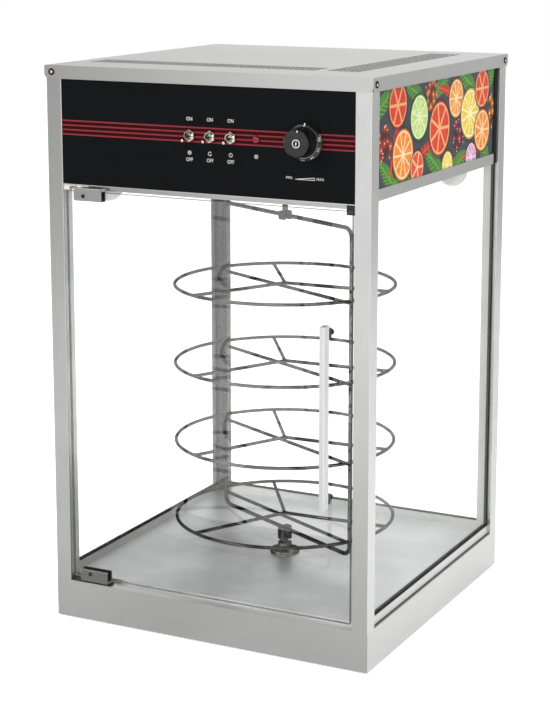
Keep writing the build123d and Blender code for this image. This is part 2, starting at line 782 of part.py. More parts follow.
bulb_z = bulb_bottom + bulb_radius
with BuildPart() as lamp_bulbs:
    for lamp_place in lamp_places:
        with Locations((*lamp_place, bulb_z)):
            Sphere(bulb_radius)
        with BuildSketch(Plane.XY.offset(bulb_z)):
            with Locations(lamp_place):
                Circle(bulb_neck)
        extrude(amount=bridge_z - bulb_z + holder_height - holder_leg - bulb_seat_gap)
write(lamp_bulbs.part, "lamp_bulbs")

with BuildPart() as top_pivot_bush:
    with BuildSketch(Plane.XY.offset(head_bottom)):
        Circle(bush_flange_radius)
    extrude(amount=-bush_flange_thick)
    with BuildSketch(Plane.XY.offset(head_bottom)):
        Circle(bush_radius)
    extrude(amount=bush_top - head_bottom)
    with BuildSketch(Plane.XY.offset(bush_top)):
        Circle(pivot_pin_radius + run_gap)
    extrude(amount=-(bush_top - head_bottom + bush_flange_thick), mode=Mode.SUBTRACT)
write(top_pivot_bush.part, "top_pivot_bush")

# ---------------------------------------------------------------- controls


def panel_plane(place, out=0.0):
    """Plane on the control panel's rear face at a place (x, z); its normal points at the cook."""
    return Plane(origin=(place[0], control_back - out, place[1]), x_dir=(1, 0, 0), z_dir=(0, -1, 0))


ball_out = control_thick - lever_depth
with BuildPart() as switch_bodies:
    for place in switch_places:
        with BuildSketch(panel_plane(place)):
            Rectangle(switch_width, switch_tall)
        extrude(amount=-switch_deep)
        with BuildSketch(panel_plane(place)):
            Circle(bush_outer)
        extrude(amount=control_thick + bush_proud)
        with BuildSketch(panel_plane(place, control_thick + bush_proud)):
            Circle(bush_bore)
        extrude(amount=-(control_thick + bush_proud - ball_out + bush_bore), mode=Mode.SUBTRACT)
write(switch_bodies.part, "switch_bodies")

with BuildPart() as switch_nuts:
    for place in switch_places:
        with BuildSketch(panel_plane(place, control_thick)):
            RegularPolygon(nut_flats / 2, 6, major_radius=False)
            Circle(bush_outer + hole_gap, mode=Mode.SUBTRACT)
        extrude(amount=nut_thick)
write(switch_nuts.part, "switch_nuts")

tilt = Axis((0, 0, 0), (1, 0, 0))
for lever_name, place in zip(
    ("light_switch_lever", "rotation_switch_lever", "power_switch_lever"), switch_places
):
    lever_plane = Plane(
        origin=(place[0], control_back - ball_out, place[1]),
        x_dir=(1, 0, 0),
        z_dir=Vector(0, -1, 0).rotate(tilt, lever_tilt),
    )
    with BuildPart() as lever:
        with Locations(lever_plane.location):
            Sphere(lever_ball)
            with Locations((0, 0, lever_length / 2)):
                Cone(lever_root, lever_tip, lever_length)
            with Locations((0, 0, lever_length)):
                Sphere(lever_tip)
    write(lever.part, lever_name)

with BuildPart() as pilot_lamp:
    with BuildSketch(panel_plane((pilot_x, pilot_z))):
        Circle(pilot_radius)
    extrude(amount=control_thick)
    with BuildSketch(panel_plane((pilot_x, pilot_z))):
        Circle(pilot_radius + pilot_shoulder)
    extrude(amount=-pilot_deep)
    with BuildSketch(panel_plane((pilot_x, pilot_z), control_thick)):
        Circle(jewel_radius)
    extrude(amount=jewel_proud)
    fillet(pilot_lamp.edges().group_by(Axis.Y)[0], jewel_proud * 0.8)
write(pilot_lamp.part, "pilot_lamp")

knob_place = (knob_x, knob_z)
with BuildPart() as thermostat_body:
    with BuildSketch(panel_plane(knob_place)):
        RectangleRounded(thermostat_side, thermostat_side, thermostat_round)
    extrude(amount=-thermostat_deep)
    with BuildSketch(panel_plane(knob_place)):
        Circle(neck_radius)
    extrude(amount=control_thick)
    with BuildSketch(panel_plane(knob_place, control_thick)):
        Circle(spindle_radius + run_gap)
    extrude(amount=-(spindle_depth + fit_gap), mode=Mode.SUBTRACT)
write(thermostat_body.part, "thermostat_body")

with BuildPart() as thermostat_knob:
    with BuildSketch(panel_plane(knob_place, control_thick + knob_gap)):
        Circle(skirt_radius)
    extrude(amount=skirt_thick, taper=skirt_taper)
    with BuildSketch(panel_plane(knob_place, control_thick + knob_gap + skirt_thick)):
        Circle(cap_radius)
    extrude(amount=knob_length - skirt_thick, taper=cap_taper)
    fillet(thermostat_knob.edges().group_by(Axis.Y)[0], cap_round)
    with BuildSketch(panel_plane(knob_place, control_thick + knob_gap)):
        Circle(spindle_radius)
    extrude(amount=-(knob_gap + spindle_depth))
write(thermostat_knob.part, "thermostat_knob")
# ---------------------------------------------------------------- door
stud_places = [
    (handle_x, handle_bottom + standoff_inset),
    (handle_x, handle_bottom + handle_length - standoff_inset),
]


def door_plane(y):
    """Upright plane parallel to the door at depth y; its normal points at the cook."""
    return Plane(origin=(0, y, 0), x_dir=(1, 0, 0), z_dir=(0, -1, 0))


with BuildPart() as door_glass:
    with BuildSketch(door_plane(door_back)):
        span(door_left, door_right, door_bottom, door_top)
        with Locations(*stud_places):
            Circle(standoff_stud + hole_gap, mode=Mode.SUBTRACT)
    extrude(amount=door_thick)
write(door_glass.part, "door_glass")

handle_back = door_face - standoff_length
with BuildPart() as door_handle:
    with BuildSketch(door_plane(handle_back)):
        span(
            handle_x - handle_width / 2,
            handle_x + handle_width / 2,
            handle_bottom,
            handle_bottom + handle_length,
        )
    extrude(amount=handle_depth)
    fillet(door_handle.edges().filter_by(Axis.Z), handle_round)
write(door_handle.part, "door_handle")

with BuildPart() as handle_standoffs:
    with BuildSketch(door_plane(door_face)):
        with Locations(*stud_places):
            RectangleRounded(handle_width, standoff_tall, standoff_round)
    extrude(amount=standoff_length)
    with BuildSketch(door_plane(door_back)):
        with Locations(*stud_places):
            Circle(standoff_stud)
    extrude(amount=door_thick)
    with BuildSketch(door_plane(door_back)):
        with Locations(*stud_places):
            Circle(standoff_nut_radius)
    extrude(amount=-standoff_nut)
write(handle_standoffs.part, "handle_standoffs")


def clamp_profile(seat, up):
    """Section of a clamp across the glass: seat is the glass edge, up is +1 when the web is above it."""
    with BuildSketch(wall_plane("back", clamp_left, clamp_left + clamp_length)) as section:
        web_outer = seat + up * (liner + clamp_web)
        plate_end = web_outer - up * clamp_height
        with Locations((door_mid, (web_outer + plate_end) / 2)):
            Rectangle(clamp_depth, clamp_height)
        with Locations((door_mid, (seat + up * liner + plate_end) / 2)):
            Rectangle(clamp_cavity, clamp_height - clamp_web, mode=Mode.SUBTRACT)
    return section.sketch


def liner_profile(seat, up):
    """Section of the rubber liner inside a clamp."""
    with BuildSketch(wall_plane("back", clamp_left, clamp_left + clamp_length)) as section:
        depth = clamp_height - clamp_web + liner_proud
        with Locations((door_mid, seat + up * (liner - depth / 2))):
            Rectangle(clamp_cavity, depth)
        with Locations((door_mid, seat - up * depth / 2)):
            Rectangle(door_thick, depth, mode=Mode.SUBTRACT)
    return section.sketch


clamps = {"top_hinge_clamp": (door_top, 1), "bottom_hinge_clamp": (door_bottom, -1)}
for clamp_name, (seat, up) in clamps.items():
    with BuildPart() as clamp:
        extrude(clamp_profile(seat, up), amount=clamp_length)
        fillet(clamp.edges().filter_by(Axis.X).group_by(Axis.Y)[0], clamp_round)
        with Locations((hinge_x, door_mid, seat)):
            Cylinder(pivot_radius + run_gap, 4 * clamp_web, mode=Mode.SUBTRACT)
        with BuildSketch(door_plane(door_mid)):
            with Locations((clamp_screw_x, seat - up * clamp_screw_inset)):
                Circle(clamp_screw + run_gap)
        extrude(amount=clamp_depth, mode=Mode.SUBTRACT)
    write(clamp.part, clamp_name)

with BuildPart() as clamp_liners:
    for seat, up in clamps.values():
        extrude(liner_profile(seat, up), amount=clamp_length + liner_proud)
        with Locations((hinge_x, door_mid, seat)):
            Cylinder(pivot_radius + hole_gap, 4 * liner, mode=Mode.SUBTRACT)
write(clamp_liners.part, "clamp_liners")

clamp_face = door_mid - clamp_depth / 2
with BuildPart() as clamp_screws:
    for seat, up in clamps.values():
        with BuildSketch(door_plane(clamp_face)):
            with Locations((clamp_screw_x, seat - up * clamp_screw_inset)):
                Circle(clamp_screw)
        extrude(amount=-clamp_plate)
        with BuildSketch(door_plane(clamp_face)):
            with Locations((clamp_screw_x, seat - up * clamp_screw_inset)):
                Circle(1.8 * clamp_screw)
        extrude(amount=clamp_screw / 2)
write(clamp_screws.part, "clamp_screws")

pin_mid = (hinge_x, door_mid)
plate_left = -post_in_x + fit_gap
with BuildPart() as hinge_bottom_plate:
    with BuildSketch(Plane.XY.offset(deck)):
        span(
            plate_left,
            plate_left + pivot_plate_length,
            door_mid - pivot_plate_depth / 2,
            door_mid + pivot_plate_depth,
        )
    extrude(amount=pivot_plate)
    with BuildSketch(Plane.XY.offset(deck)):
        with Locations(pin_mid):
            Circle(pivot_collar)
    extrude(amount=clamp_foot - deck - fit_gap)
    with BuildSketch(Plane.XY.offset(deck)):
        with Locations(pin_mid):
            Circle(pivot_radius)
    extrude(amount=clamp_foot + clamp_web - fit_gap - deck)
write(hinge_bottom_plate.part, "hinge_bottom_plate")

bracket_top = control_bottom - sheet
with BuildPart() as hinge_top_bracket:
    with BuildSketch(Plane.XY.offset(bracket_top)):
        span(
            plate_left,
            hinge_x + clamp_length / 3,
            door_mid - pivot_plate_depth / 3,
            door_mid + pivot_plate_depth / 2,
        )
    extrude(amount=-pivot_plate)
    with BuildSketch(Plane.XY.offset(bracket_top)):
        span(
            plate_left,
            plate_left + pivot_tab,
            door_mid - pivot_plate_depth / 3,
            door_mid + pivot_plate_depth / 2,
        )
    extrude(amount=-(bracket_top - door_top - liner))
    with BuildSketch(Plane.XY.offset(bracket_top)):
        with Locations(pin_mid):
            Circle(pivot_collar)
    extrude(amount=-(bracket_top - clamp_top - fit_gap))
    with BuildSketch(Plane.XY.offset(bracket_top)):
        with Locations(pin_mid):
            Circle(pivot_radius)
    extrude(amount=-(bracket_top - clamp_top + clamp_web - fit_gap))
write(hinge_top_bracket.part, "hinge_top_bracket")

with BuildPart() as door_catch:
    with BuildSketch(Plane.XY.offset(bracket_top)):
        span(post_in_x - fit_gap - catch_width, post_in_x - fit_gap, door_back + fit_gap, strip_y)
    extrude(amount=-catch_height)
write(door_catch.part, "door_catch")
# ---------------------------------------------------------------- turning rack
spin = Vector(1, 0, 0).rotate(Axis.Z, rack_angle)
frame_plane = Plane(origin=(0, 0, 0), x_dir=spin, z_dir=spin.cross(Vector(0, 0, 1)))
shelf_levels = [lowest_shelf + step * shelf_pitch for step in range(shelf_count)]
bar_drop = (ring_wire + bar_wire) / 2 + wire_gap


def wire_end(origin, direction, diameter):
    """Round end face of a straight wire that leaves origin along direction."""
    with BuildSketch(Plane(origin=origin, z_dir=direction)) as section:
        Circle(diameter / 2)
    return section.sketch


with BuildPart() as rack_frame:
    with BuildLine(frame_plane) as frame_path:
        FilletPolyline(
            (-frame_radius, frame_bottom),
            (frame_radius, frame_bottom),
            (frame_radius, frame_top),
            (-frame_radius, frame_top),
            radius=frame_bend,
            close=True,
        )
    with BuildSketch(Plane(origin=frame_path.wire() @ 0, z_dir=frame_path.wire() % 0)):
        Circle(frame_wire / 2)
    sweep(path=frame_path.wire())
    for level in shelf_levels:
        bar_start = spin * -frame_radius + Vector(0, 0, level - bar_drop)
        extrude(wire_end(bar_start, spin, bar_wire), amount=2 * frame_radius)
write(rack_frame.part, "rack_frame")

for number, level in enumerate(reversed(shelf_levels), start=1):
    with BuildPart() as shelf:
        with Locations((0, 0, level)):
            Torus(ring_radius, ring_wire / 2)
            Sphere(spoke_wire / 2)
        for leg in range(3):
            outwards = spin.rotate(Axis.Z, -90 + 120 * leg)
            extrude(wire_end((0, 0, level), outwards, spoke_wire), amount=ring_radius)
    write(shelf.part, f"rack_shelf_{number}")

slot_width = frame_wire + 2 * wire_gap
with BuildPart() as drive_fork:
    with BuildSketch(Plane.XY.offset(shaft_bottom)):
        Circle(shaft_radius)
    extrude(amount=frame_bottom - fork_drop - shaft_bottom)
    with BuildSketch(Plane.XY.offset(frame_bottom - fork_drop)):
        Rectangle(fork_depth, fork_width, rotation=rack_angle)
    extrude(amount=fork_drop + fork_rise)
    fillet(drive_fork.edges().filter_by(Axis.Z).filter_by(GeomType.LINE), fork_depth / 6)
    slot_floor = frame_bottom - frame_wire / 2 - wire_gap
    with BuildSketch(Plane.XY.offset(slot_floor)):
        Rectangle(2 * fork_width, slot_width, rotation=rack_angle)
    extrude(amount=fork_drop, mode=Mode.SUBTRACT)
write(drive_fork.part, "drive_fork")

socket_top = frame_top + frame_wire / 2 + fork_rise
with BuildPart() as top_pivot_pin:
    with BuildSketch(Plane.XY.offset(socket_top)):
        Circle(pivot_pin_radius)
    extrude(amount=pivot_pin_top - socket_top)
    with BuildSketch(Plane.XY.offset(frame_top - frame_wire)):
        Rectangle(socket_depth, socket_width, rotation=rack_angle)
    extrude(amount=socket_top - frame_top + frame_wire)
    fillet(top_pivot_pin.edges().filter_by(Axis.Z).filter_by(GeomType.LINE), socket_depth / 6)
    with BuildSketch(Plane.XY.offset(frame_top + frame_wire / 2 + wire_gap)):
        Rectangle(2 * socket_width, slot_width, rotation=rack_angle)
    extrude(amount=-2 * frame_wire, mode=Mode.SUBTRACT)
write(top_pivot_pin.part, "top_pivot_pin")
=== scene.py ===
"""Looks of a rotating hot food display case, laid out as an add-on. Metres, +Z up, front towards -Y."""

import math

import bmesh
import bpy
from bpy.props import FloatProperty, FloatVectorProperty, IntProperty, PointerProperty
from mathutils import Matrix, Vector


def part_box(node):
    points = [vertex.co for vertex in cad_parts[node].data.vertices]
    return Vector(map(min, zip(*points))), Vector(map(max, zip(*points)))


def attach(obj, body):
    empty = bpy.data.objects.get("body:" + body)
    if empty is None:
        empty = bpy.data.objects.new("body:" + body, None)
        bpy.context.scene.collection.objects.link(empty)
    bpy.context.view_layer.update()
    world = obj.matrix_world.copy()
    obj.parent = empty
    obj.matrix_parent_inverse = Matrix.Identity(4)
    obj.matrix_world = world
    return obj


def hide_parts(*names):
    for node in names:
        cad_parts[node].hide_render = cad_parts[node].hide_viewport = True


bl_info = {
    "name": "Hot food display case",
    "version": (1, 0, 0),
    "blender": (4, 5, 0),
    "location": "View3D > Sidebar > Food case",
    "description": "Dresses a heated glass cabinet with a turning wire rack",
    "category": "Object",
}

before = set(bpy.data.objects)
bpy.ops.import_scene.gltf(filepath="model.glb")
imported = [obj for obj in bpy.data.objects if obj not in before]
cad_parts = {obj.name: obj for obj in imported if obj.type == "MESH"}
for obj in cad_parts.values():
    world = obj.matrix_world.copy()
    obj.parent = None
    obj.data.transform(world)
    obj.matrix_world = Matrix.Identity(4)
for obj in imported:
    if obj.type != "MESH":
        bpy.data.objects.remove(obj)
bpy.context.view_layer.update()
MM = 0.001
FULL_TURN = 2 * math.pi
SWITCHES = ("light", "rotation", "power")
WIRE_SIDES = 14
# Nearly all of a noise texture's values lie between these two.
LOW, HIGH = 0.3, 0.7
# Settings of a Mix node that mixes colours.
IN_COLOUR = {"data_type": "RGBA"}
finishes = {}


def linear(hex_colour):
    """Turn an sRGB hex colour into linear red, green and blue."""
    channels = [int(hex_colour[start : start + 2], 16) / 255 for start in (1, 3, 5)]
    return tuple(c / 12.92 if c <= 0.04045 else ((c + 0.055) / 1.055) ** 2.4 for c in channels)


def rgba(colour):
    """Opaque four-channel form of a hex string or a linear colour."""
    return (*(linear(colour) if isinstance(colour, str) else tuple(colour)[:3]), 1.0)


def fill(tree, node, links):
    """Fill a node's inputs with values, sockets or the first live output of other nodes."""
    for key, value in links.items():
        if isinstance(value, bpy.types.Node):
            value = next(output for output in value.outputs if output.enabled)
        if isinstance(value, bpy.types.NodeSocket):
            tree.links.new(value, node.inputs[key])
        else:
            node.inputs[key].default_value = value


def add(tree, kind, settings, links):
    """Add a shader node with its settings, or just its operation, and its links."""
    node = tree.nodes.new("ShaderNode" + kind)
    if isinstance(settings, str):
        settings = {"operation": settings}
    for name, value in settings.items():
        setattr(node, name, value)
    fill(tree, node, links)
    return node


def start(name, **values):
    """New material with its tree, its Principled shader and Object coordinates."""
    material = bpy.data.materials.new(name)
    material.use_nodes = True
    tree = material.node_tree
    surface = tree.nodes["Principled BSDF"]
    fill(tree, surface, {key.replace("_", " "): value for key, value in values.items()})
    return material, tree, surface, add(tree, "TexCoord", {}, {}).outputs["Object"]


def dress(finish, *nodes):
    """Give a finish to carried-over CAD nodes."""
    for name in nodes:
        for material_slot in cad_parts[name].material_slots:
            material_slot.material = finishes[finish]


def make_object(name, mesh_data, material):
    """Make a bmesh into an object in the scene."""
    mesh = bpy.data.meshes.new(name)
    mesh_data.to_mesh(mesh)
    mesh_data.free()
    mesh.materials.append(material)
    made = bpy.data.objects.new(name, mesh)
    bpy.context.scene.collection.objects.link(made)
    return made


def finish_piece(name, mesh_data, finish, body, nodes=(), sharp=35.0):
    """Make a bmesh into a smooth-shaded piece that rides on a body and stands for CAD nodes."""
    bmesh.ops.remove_doubles(mesh_data, verts=mesh_data.verts, dist=1e-6)
    bmesh.ops.recalc_face_normals(mesh_data, faces=mesh_data.faces)
    piece = make_object(name, mesh_data, finishes[finish])
    piece.data.shade_smooth()
    piece.data.set_sharp_from_angle(angle=math.radians(sharp))
    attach(piece, body)
    if nodes:
        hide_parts(*nodes)


def middle(node):
    """Centre of a CAD node's box."""
    low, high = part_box(node)
    return (Vector(low) + Vector(high)) / 2


def rod(mesh_data, begin, end, diameter):
    """Round bar between two points."""
    run = end - begin
    turn = run.to_track_quat("Z", "Y").to_matrix().to_4x4()
    bmesh.ops.create_cone(
        mesh_data, cap_ends=True, segments=WIRE_SIDES, radius1=diameter / 2, radius2=diameter / 2,
        depth=run.length, matrix=Matrix.Translation((begin + end) / 2) @ turn,
    )


def in_millimetres(profile, lift=1.0):
    """Turn a profile drawn in millimetres to metres, its heights raised by a factor."""
    return [(radius * MM, height * MM * lift) for radius, height in profile]


def lathe(mesh_data, profile, place, steps):
    """Spin a profile of (radius, height) points about the Z axis of a placed frame."""
    verts = [mesh_data.verts.new(place @ Vector((radius, 0, height))) for radius, height in profile]
    edges = [mesh_data.edges.new(pair) for pair in zip(verts, verts[1:])]
    bmesh.ops.spin(
        mesh_data,
        geom=verts + edges,
        cent=place.translation,
        axis=place.to_3x3() @ Vector((0, 0, 1)),
        angle=FULL_TURN,
        steps=steps,
        use_merge=True,
    )


# The front of the panel: local Z points at the cook, local X to the right, local Y up.
FACING = Matrix.Rotation(math.radians(90), 4, "X")


def colour_setting(name, description, hex_colour):
    """Colour that a user can change."""
    default = linear(hex_colour)
    return FloatVectorProperty(name=name, description=description, subtype="COLOR", default=default)


def length_setting(name, description, millimetres):
    """Length that a user can change."""
    return FloatProperty(name=name, description=description, unit="LENGTH", default=millimetres * MM)


class FoodCaseColours(bpy.types.PropertyGroup):
    """Colours of the display case."""

    steel: colour_setting("Stainless", "Brushed stainless sheet", "#c6c6c4")
    # Painted dark reflection: far darker than stainless, for the dark surroundings the wire mirrors.
    wire: colour_setting("Wire", "Polished rack wire", "#403e3c")
    panel: colour_setting("Panel", "Ground of the control panel", "#08090c")
    stripe: colour_setting("Stripe", "Fine lines across the control panel", "#86303a")
    stripe_ground: colour_setting("Stripe ground", "Band behind the fine lines", "#2e0203")
    print_white: colour_setting("Print", "Legends and dial figures", "#ecebe6")
    jewel: colour_setting("Pilot lamp", "Lens of the pilot lamp", "#7c1030")
    floor: colour_setting("Floor", "Studio floor", "#eeeeee")


class FoodCaseSizes(bpy.types.PropertyGroup):
    """Sizes of the display case's surface details."""

    brush_pitch: length_setting("Brush lines", "Spacing of the brush lines", 0.8)
    stripe_low: length_setting("Stripes from", "Lower edge of the striped band", 686.8)
    stripe_high: length_setting("Stripes to", "Upper edge of the striped band", 707.3)
    stripe_width: length_setting("Stripe width", "Width of one fine line", 2.1)
    legend: length_setting("Legend height", "Letter height of ON and OFF", 4.8)
    figure: length_setting("Dial figures", "Figure height on the knob's skirt", 3.0)
    symbol_line: length_setting("Symbol line", "Stroke width of the printed symbols", 0.6)
    lid_screw_inset: length_setting("Lid screws", "Lid screws from the flange's end", 11.5)
    side_vent_inset: length_setting("Side vents", "Middle of the side vents from the lid's edge", 78.0)
    front_vent_inset: length_setting("Front vents", "Middle of the front vents from the lid's edge", 97.0)
    vent_pitch: length_setting("Vent pitch", "Spacing of the vent holes", 8.0)
    vent_hole: length_setting("Vent hole", "Diameter of the vent holes", 6.4)
    weld: length_setting("Weld bead", "Diameter of the weld beads on the wire", 7.0)
    knob_flutes: IntProperty(
        name="Knob flutes", description="Grip flutes around the knob", default=40, min=12, max=90
    )


# ---------------------------------------------------------------- finishes
def brushed_sheet(name, colour, grain, roughness, streaks=0.03, cloud=0.05, inside=1.0):
    """Stainless sheet with a brushed grain that runs where the grain factor is small.

    The belt leaves fine parallel lines a fraction of a millimetre apart, drawn coarser so that they show,
    and handling leaves soft clouds, so its shine is broad, streaked and slightly uneven. Faces turned into
    the cabinet can be darkened by painted shade, given as a share of the colour.
    """
    sizes = bpy.context.scene.food_case_sizes
    material, tree, surface, place = start(name, Metallic=1.0)
    fine = 1 / sizes.brush_pitch
    lines = add(tree, "Mapping", {}, {"Vector": place, "Scale": Vector(grain) * fine})
    streak = add(tree, "TexNoise", {}, {"Vector": lines, "Scale": 1.0, "Detail": 4.0})
    patch = {"Vector": place, "Scale": 1 / (143 * MM), "Detail": 3.0, "Roughness": 0.6}
    clouds = add(tree, "TexNoise", {}, patch)
    tone = add(tree, "MapRange", {}, {0: streak, 1: LOW, 2: HIGH, 3: 1 - streaks, 4: 1 + streaks})
    mottle = add(tree, "MapRange", {}, {0: clouds, 1: LOW, 2: HIGH, 3: 1 - cloud, 4: 1 + cloud})
    both = add(tree, "Math", "MULTIPLY", {0: tone, 1: mottle})
    depth = both
    if inside < 1.0:
        # The posts' outer faces lie on the cabinet's box; everything further in is darkened by painted shade.
        margin = 0.4 * MM
        half, rear = -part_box("post_back_left")[0][0] - margin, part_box("post_back_right")[1][1] - margin
        split = add(tree, "SeparateXYZ", {}, {0: place})
        width = add(tree, "Math", "ABSOLUTE", {0: split.outputs[0]})
        left = add(tree, "Math", "LESS_THAN", {0: width, 1: half})
        back = add(tree, "Math", "LESS_THAN", {0: split.outputs[1], 1: rear})
        painted_shade_zone = add(tree, "Math", "MULTIPLY", {0: left, 1: back})
        # Painted shade: inside the cabinet the colour falls to the given share.
        ramp_step = add(tree, "MapRange", {}, {0: painted_shade_zone, 3: 1.0, 4: inside})
        depth = add(tree, "Math", "MULTIPLY", {0: both, 1: ramp_step})
    shade = add(tree, "VectorMath", "SCALE", {0: rgba(colour)[:3], "Scale": depth})
    gloss = add(tree, "MapRange", {}, {0: both, 1: 0.9, 2: 1.1, 3: roughness + 0.04, 4: roughness - 0.04})
    bump = add(tree, "Bump", {}, {"Strength": 0.06, "Distance": 0.1 * MM, "Height": streak})
    fill(tree, surface, {"Base Color": shade, "Roughness": gloss, "Normal": bump})
    return material


def polished(name, colour, roughness, grain, edge="#ffffff"):
    """Plated or polished metal: a clear mirror with faint handling marks in its gloss.

    On thin round wire the mirror shows its surroundings as a bright line between two dark edges. The dark
    edges are partly the mirrored dark surroundings and partly painted shade from a dark edge tint, which
    darkens the mirror towards grazing angles.
    """
    # A dark edge tint is painted shade along the mirror's grazing edges.
    material, tree, surface, place = start(name, Metallic=1.0, Specular_Tint=rgba(edge))
    marks = add(tree, "TexNoise", {}, {"Vector": place, "Scale": 1 / grain, "Detail": 3.0})
    gloss = add(tree, "MapRange", {}, {0: marks, 1: 0.35, 2: 0.7, 3: roughness * 0.7, 4: roughness * 1.5})
    tone = add(tree, "MapRange", {}, {0: marks, 1: LOW, 2: HIGH, 3: 0.93, 4: 1.04})
    shade = add(tree, "VectorMath", "SCALE", {0: rgba(colour)[:3], "Scale": tone})
    fill(tree, surface, {"Base Color": shade, "Roughness": gloss})
    return material


def moulded(name, colour, roughness, grain=0.6 * MM, relief=0.05 * MM, shine=0.5):
    """Moulded plastic or rubber: one colour right through, with a fine spark-eroded texture and dust tone."""
    material, tree, surface, place = start(name, Specular_IOR_Level=shine)
    texture = add(tree, "TexNoise", {}, {"Vector": place, "Scale": 1 / grain, "Detail": 2.0})
    dust = add(tree, "TexNoise", {}, {"Vector": place, "Scale": 1 / (40 * MM), "Detail": 2.0})
    tone = add(tree, "MapRange", {}, {0: dust, 1: LOW, 2: HIGH, 3: 0.88, 4: 1.15})
    shade = add(tree, "VectorMath", "SCALE", {0: rgba(colour)[:3], "Scale": tone})
    gloss = add(tree, "MapRange", {}, {0: dust, 1: LOW, 2: HIGH, 3: roughness - 0.05, 4: roughness + 0.07})
    bump = add(tree, "Bump", {}, {"Strength": 0.25, "Distance": relief, "Height": texture})
    fill(tree, surface, {"Base Color": shade, "Roughness": gloss, "Normal": bump})
    return material


def galvanised(name, colour):
    """Hot-dip zinc: a dull grey metal with a crystal spangle about 6 mm across."""
    material, tree, surface, place = start(name, Metallic=1.0)
    spangle = add(tree, "TexVoronoi", {}, {"Vector": place, "Scale": 1 / (6 * MM)})
    cell = add(tree, "SeparateColor", {}, {0: spangle.outputs["Color"]})
    tone = add(tree, "MapRange", {}, {0: cell.outputs[0], 3: 0.8, 4: 1.1})
    shade = add(tree, "VectorMath", "SCALE", {0: rgba(colour)[:3], "Scale": tone})
    gloss = add(tree, "MapRange", {}, {0: cell.outputs[1], 3: 0.38, 4: 0.56})
    fill(tree, surface, {"Base Color": shade, "Roughness": gloss})
    return material


def float_glass(name, body, shine, clear=1.0, cut_box=None):
    """Toughened float glass: nearly colourless, with a clear reflection and a faint uneven film from wiping.

    Where the pane is less clear, part of the film is white and diffuse, a painted reflection that veils
    what stands behind it. Light that only brightens what stands behind the pane passes straight through.
    The cut edges of a free pane look dark green, because the eye looks along the sheet there.
    """
    tint = rgba("#fbfcfb")
    material, tree, surface, place = start(
        name, Base_Color=tint, IOR=1.5, Roughness=0.0, Transmission_Weight=clear, Specular_IOR_Level=shine
    )
    wipe = add(tree, "TexNoise", {}, {"Vector": place, "Scale": 1 / (111 * MM), "Detail": 2.0})
    film = add(tree, "MapRange", {}, {0: wipe, 1: LOW, 2: HIGH, 3: body * 0.85, 4: body})
    if cut_box:
        margin = 0.5 * MM
        split = add(tree, "SeparateXYZ", {}, {0: place})
        edges = []
        for axis in (0, 2):
            low, high = cut_box[0][axis], cut_box[1][axis]
            off = add(tree, "Math", "SUBTRACT", {0: split.outputs[axis], 1: (low + high) / 2})
            far = add(tree, "Math", "ABSOLUTE", {0: off})
            limit = (high - low) / 2 - margin
            edges.append(add(tree, "Math", "GREATER_THAN", {0: far, 1: limit}))
        edge = add(tree, "Math", "MAXIMUM", {0: edges[0], 1: edges[1]})
        solid = add(tree, "Math", "MULTIPLY", {0: edge, 1: 0.75})
        film = add(tree, "Math", "MAXIMUM", {0: film, 1: solid})
        shade = add(tree, "Mix", IN_COLOUR, {0: edge, 6: tint, 7: rgba("#56635d")})
        open_face = add(tree, "Math", "SUBTRACT", {0: clear, 1: edge})
        fill(tree, surface, {"Base Color": shade, "Transmission Weight": open_face})
    fill(tree, surface, {"Alpha": film})
    ray = add(tree, "LightPath", {}, {}).outputs
    through = add(tree, "Math", "MAXIMUM", {0: ray["Is Shadow Ray"], 1: ray["Is Diffuse Ray"]})
    opening = add(tree, "BsdfTransparent", {}, {0: (0.97, 0.98, 0.975, 1)})
    both = add(tree, "MixShader", {}, {0: through, 1: surface, 2: opening})
    fill(tree, tree.nodes["Material Output"], {"Surface": both})
    return material


def printed_panel():
    """Screen-printed steel: satin black ink with four fine red lines over a dark red band."""
    colours = bpy.context.scene.food_case_colours
    sizes = bpy.context.scene.food_case_sizes
    material, tree, surface, place = start("screen_printed_panel", Specular_IOR_Level=0.08)
    height = add(tree, "SeparateXYZ", {}, {0: place}).outputs["Z"]
    lines = 4
    pitch = (sizes.stripe_high - sizes.stripe_low - sizes.stripe_width) / (lines - 1)
    rise = add(tree, "Math", "SUBTRACT", {0: height, 1: sizes.stripe_low})
    steps = add(tree, "Math", "DIVIDE", {0: rise, 1: pitch})
    part = add(tree, "Math", "FRACT", {0: steps})
    line = add(tree, "Math", "LESS_THAN", {0: part, 1: sizes.stripe_width / pitch})
    above = add(tree, "Math", "GREATER_THAN", {0: height, 1: sizes.stripe_low})
    under = add(tree, "Math", "LESS_THAN", {0: height, 1: sizes.stripe_high})
    band = add(tree, "Math", "MULTIPLY", {0: above, 1: under})
    ink = add(tree, "Mix", IN_COLOUR, {0: line, 6: rgba(colours.stripe_ground), 7: rgba(colours.stripe)})
    haze = add(tree, "TexNoise", {}, {"Vector": place, "Scale": 1 / (71.4 * MM), "Detail": 3.0})
    tone = add(tree, "MapRange", {}, {0: haze, 1: LOW, 2: HIGH, 3: 0.9, 4: 1.12})
    ground = add(tree, "VectorMath", "SCALE", {0: rgba(colours.panel)[:3], "Scale": tone})
    shade = add(tree, "Mix", IN_COLOUR, {0: band, 6: ground, 7: ink})
    gloss = add(tree, "MapRange", {}, {0: haze, 1: LOW, 2: HIGH, 3: 0.44, 4: 0.56})
    fleck = add(tree, "TexNoise", {}, {"Vector": place, "Scale": 1 / (0.7 * MM), "Detail": 1.0})
    bump = add(tree, "Bump", {}, {"Strength": 0.08, "Distance": 0.05 * MM, "Height": fleck})
    fill(tree, surface, {"Base Color": shade, "Roughness": gloss, "Normal": bump})
    return material


